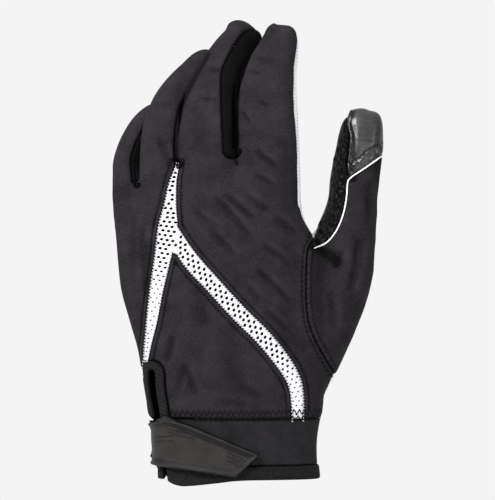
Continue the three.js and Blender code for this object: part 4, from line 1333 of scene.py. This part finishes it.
def strap_lift(inside):
    rim = 0.5 * bell(inside - 1.2, 0.65)
    hollow = 0.25 * rise(1.8, 2.8, inside)
    step = 0.35 * rise(3.4, 3.9, inside)
    return 1.5 + roll(1.7, 0.7)(inside) + rim - hollow - step + ridges * rise(1.5, 2.5, inside)


# Painted shade in the groove inside the strap's rim and along its outer edge; its ridges are
# painted darker
wrist.shade = 0.8 * bell(strap - 2.8, 0.8) + 0.3 * bell(strap - 0.2, 0.6) + 0.9 * ridges
round_wrist("strap", strap, strap_lift, "closure_strap", STRAP, 1.8)
wrist.shade *= 0
pad = np.minimum(within(W, on_strap(PATCH_OUTLINE)), np.minimum(-y, z - HEM_HEIGHT - 0.3))
pad_roll = roll(0.9, 0.3)
round_wrist("hook_tape", pad, lambda d: 0.3 + pad_roll(d), "hook_pad", HOOKS, 0.9)

IN_FRONT = -200
tree = skin.tree()


def on_skin(x, z):
    """The place and normal of the skin's front, in millimetres"""
    before = Vector((x * MM, IN_FRONT * MM, z * MM))
    hit, normal, _, _ = tree.ray_cast(before, Vector((0, 1, 0)))
    return (np.array(hit) / MM, np.array(normal)) if hit else (None, None)


def sweep(name, line, wide, deep, sides=10):
    """A flattened strip that lies on the skin along a line in X and Z"""
    at = [on_skin(*p[:2]) for p in line]
    at = [pair for pair in at if pair[0] is not None]
    points = np.array([pair[0] for pair in at])
    out = unit(np.array([pair[1] for pair in at]))
    along = unit(np.gradient(points, axis=0))
    side = unit(np.cross(along, out))
    turnings = turn(sides)
    rings = points[:, None] + np.cos(turnings)[None, :, None] * wide / 2 * side[:, None]
    rings = rings + np.sin(turnings)[None, :, None] * deep / 2 * out[:, None]
    bm = bmesh.new()
    wrap(bm, rings)
    return closed_object(name, bm)


# The piping stops just short of the thumb's outline
edge_line = catmull(piping_line, np.linspace(0, 1, 160))[:158]
edge = sweep("thumb_edge", edge_line, 0.68, 0.95)
edge.data.materials.append(PIPING)
enter(edge, "thumb_piping")


def sew(bm, line, pitch, long, wide, lift, angles=(0,), skip=None):
    """Rounded stitches along a line in X and Z, turned from its direction by angles in turn"""
    run = line[:, 2]
    at = np.arange(pitch / 2, run[-1], pitch)
    rows = np.stack([np.interp(at, run, line[:, k]) for k in (0, 1)], 1)
    ways = unit(np.gradient(rows, axis=0))
    for number, (spot, way) in enumerate(zip(rows, ways)):
        if skip is not None and skip(np.array([[spot[0], 0, spot[1]]]))[0]:
            continue
        place, out = on_skin(*spot)
        if place is None:
            continue
        angle = math.radians(angles[number % len(angles)])
        flat = Vector((way[0], 0, way[1]))
        out = Vector(out) if out[1] < 0 else -Vector(out)
        flat = (flat - out * flat.dot(out)).normalized()
        flat = Matrix.Rotation(angle, 3, out) @ flat
        frame = Matrix((flat, out.cross(flat), out)).transposed().to_4x4()
        frame.translation = (Vector(place) + out * lift) * MM
        size = Matrix.Diagonal((long / 2 * MM, wide / 2 * MM, wide * 0.42 * MM, 1))
        bmesh.ops.create_icosphere(bm, subdivisions=1, radius=1, matrix=frame @ size)


def threads(name, slot, rows, material=THREAD):
    """Rows of stitches as one piece"""
    bm = bmesh.new()
    for row in rows:
        sew(bm, **row)
    thing = new_object(name, bm)
    thing.data.materials.append(material)
    enter(thing, None)


def stitches(line, pitch, long, wide, lift, **more):
    """What sew needs for one row"""
    return {"line": line, "pitch": pitch, "long": long, "wide": wide, "lift": lift, **more}


def leg_edge(leg, side, grow):
    """A line beside a leg of the mesh"""
    fine = catmull(leg, np.linspace(0, 1, 90))
    line = fine[:, :2] + side * (fine[:, 2] / 2 + grow)[:, None] * leftward(fine[:, :2])
    return np.column_stack([line, run_along(line)])


def off_the_edge(points):
    """Where no stitch belongs: on the mesh, in a finger's slot or on the slit's binding"""
    in_slot = (points[:, 2] > at_z(170)) | (slit_gap(points)[0] < BINDING_WIDTH)
    return in_slot | (mesh_inside(points) > 0.4)


def off_the_teeth(points):
    return abs(mesh_inside(points)) > 1.0


def off_the_hem(points):
    return points[:, 2] < np.interp(points[:, 0], *hem_edge.T[:2]) + 1.2


def level_line(low, high, height, climb=0.0):
    """A straight line between two columns of the front view"""
    start, end = at_x(low), at_x(high)
    return np.array([[start, height, 0], [end, height + climb, end - start]])


overlock, chain = [], []
for leg in (left_leg, right_leg):
    for side in (-1, 1):
        line = leg_edge(leg, side, 0.35)
        crossed = {"angles": (70, 110), "skip": off_the_edge}
        overlock.append(stitches(line, 0.95, 1.5, 0.42, -0.15, **crossed))
        line = leg_edge(leg, side, CHAIN_AWAY)
        chain.append(stitches(line, CHAIN_PITCH, 1.3, 0.4, 0.02, skip=off_the_edge))
threads("mesh_overlock", "gusset_cloth", overlock)
teeth = []
for leg, side in ((left_leg, -1), (right_leg, -1), (left_leg, 1), (right_leg, 1)):
    line = leg_edge(leg, side, -0.1)
    teeth.append(stitches(line, 1.45, 1.25, 0.5, 0.05, angles=(48,), skip=off_the_teeth))
threads("mesh_teeth", "vent_mesh", teeth, VENT)
for offset in SEAM_ROWS:
    chain.append(stitches(measured(thumb_seam, offset), SEAM_PITCH, 1.7, 0.45, 0.02))
threads("panel_stitches", "gusset_cloth", chain)
threads("cap_stitches", "cap_leather", [stitches(cap_dashes, 2.2, 1.5, 0.5, 0.1)])
zigzag = []
for height, low, high in ((CUFF_TOP + 3.2, 170, 325), (CUFF_TOP + 0.2, 195, 321)):
    line = level_line(low, high, height, 0.4)
    zigzag.append(stitches(line, 1.25, 3.7, 0.6, 0.14, angles=(62, 118)))
threads("cuff_overlock", "gusset_cloth", zigzag)
# One row along the binding's outer edge, on the side of the hand
slit_row = []
half = slit_line[:, 2].mean() + BINDING_WIDTH - 0.7
for side in (-1, 1):
    line = measured(slit_line, side * half)
    if line[:, 0].max() > slit_line[:, 0].max() + 1:
        row = stitches(line, 1.8, 1.0, 0.55, 0.6, skip=lambda points: points[:, 2] < CUFF_TOP)
        slit_row.append(row)
threads("binding_stitches", "hem_tape", slit_row)
hem_rows = []
for height in (HEM_HEIGHT - 1.3, HEM_HEIGHT - 5.2):
    line = level_line(172, 319, height)
    hem_rows.append(stitches(line, 2.1, 1.3, 0.6, 0.85, skip=off_the_hem))
threads("hem_stitches", "hem_tape", hem_rows)

# Floor, light and camera; the floor lies out of the picture
FLOOR_RADIUS, FLOOR_DROP = 0.6, 0.2
bm = bmesh.new()
bmesh.ops.create_circle(bm, cap_ends=True, segments=96, radius=FLOOR_RADIUS)
bmesh.ops.translate(bm, verts=bm.verts, vec=(0, 0, -FLOOR_DROP))
floor = new_object("floor", bm)
floor.data.materials.append(FLOOR)

world = bpy.data.worlds.new("studio")
bpy.context.scene.world = world
world.use_nodes = True
sky = Nodes(world.node_tree)
ahead = sky.add("ShaderNodeTexCoord").outputs["Generated"]
parts = sky.add("ShaderNodeSeparateXYZ", {0: ahead})
# White paper behind the glove and overhead, a dimmer room in front of it
PAPER, ROOM = 0.905, 0.42
span = {"From Min": -0.7, "From Max": 0.5, "To Min": ROOM, "To Max": PAPER}
span["Value"] = parts.outputs["Y"]
depth = sky.add("ShaderNodeMapRange", span, interpolation_type="SMOOTHSTEP")
height = sky.math("MULTIPLY", parts.outputs["Z"], 0.35, True)
level = sky.math("MINIMUM", sky.math("ADD", depth.outputs["Result"], height), PAPER)
background = world.node_tree.nodes["Background"]
world.node_tree.links.new(level, background.inputs["Color"])
background.inputs["Strength"].default_value = 1.0


def light(name, place, size, power, target=(0, 0, 0.1)):
    """A round lamp aimed at the glove"""
    data = bpy.data.lights.new(name, "AREA")
    data.shape = "DISK"
    data.size = size
    data.energy = power
    lamp = bpy.data.objects.new(name, data)
    lamp.location = place
    lamp.rotation_euler = (Vector(target) - Vector(place)).to_track_quat("-Z", "Y").to_euler()
    bpy.context.scene.collection.objects.link(lamp)


light("key", (-0.55, -0.6, 0.85), 0.35, 22)
light("side", (0.9, -0.7, 0.3), 0.5, 5)
light("front", (0.28, -1.7, 0.42), 0.3, 5)

SENSOR, VIEW_AWAY, VIEW_HEIGHT, VIEW_MIDDLE = 36, 2000, 237.5, (3.56, 108.3)
camera_data = bpy.data.cameras.new("camera")
camera_data.sensor_width = SENSOR
camera_data.lens = SENSOR * VIEW_AWAY / VIEW_HEIGHT
camera = bpy.data.objects.new("camera", camera_data)
camera.location = (VIEW_MIDDLE[0] * MM, -VIEW_AWAY * MM, VIEW_MIDDLE[1] * MM)
camera.rotation_euler = (math.pi / 2, 0, 0)
bpy.context.scene.collection.objects.link(camera)
bpy.context.scene.camera = camera
bpy.context.scene.view_settings.view_transform = "Standard"
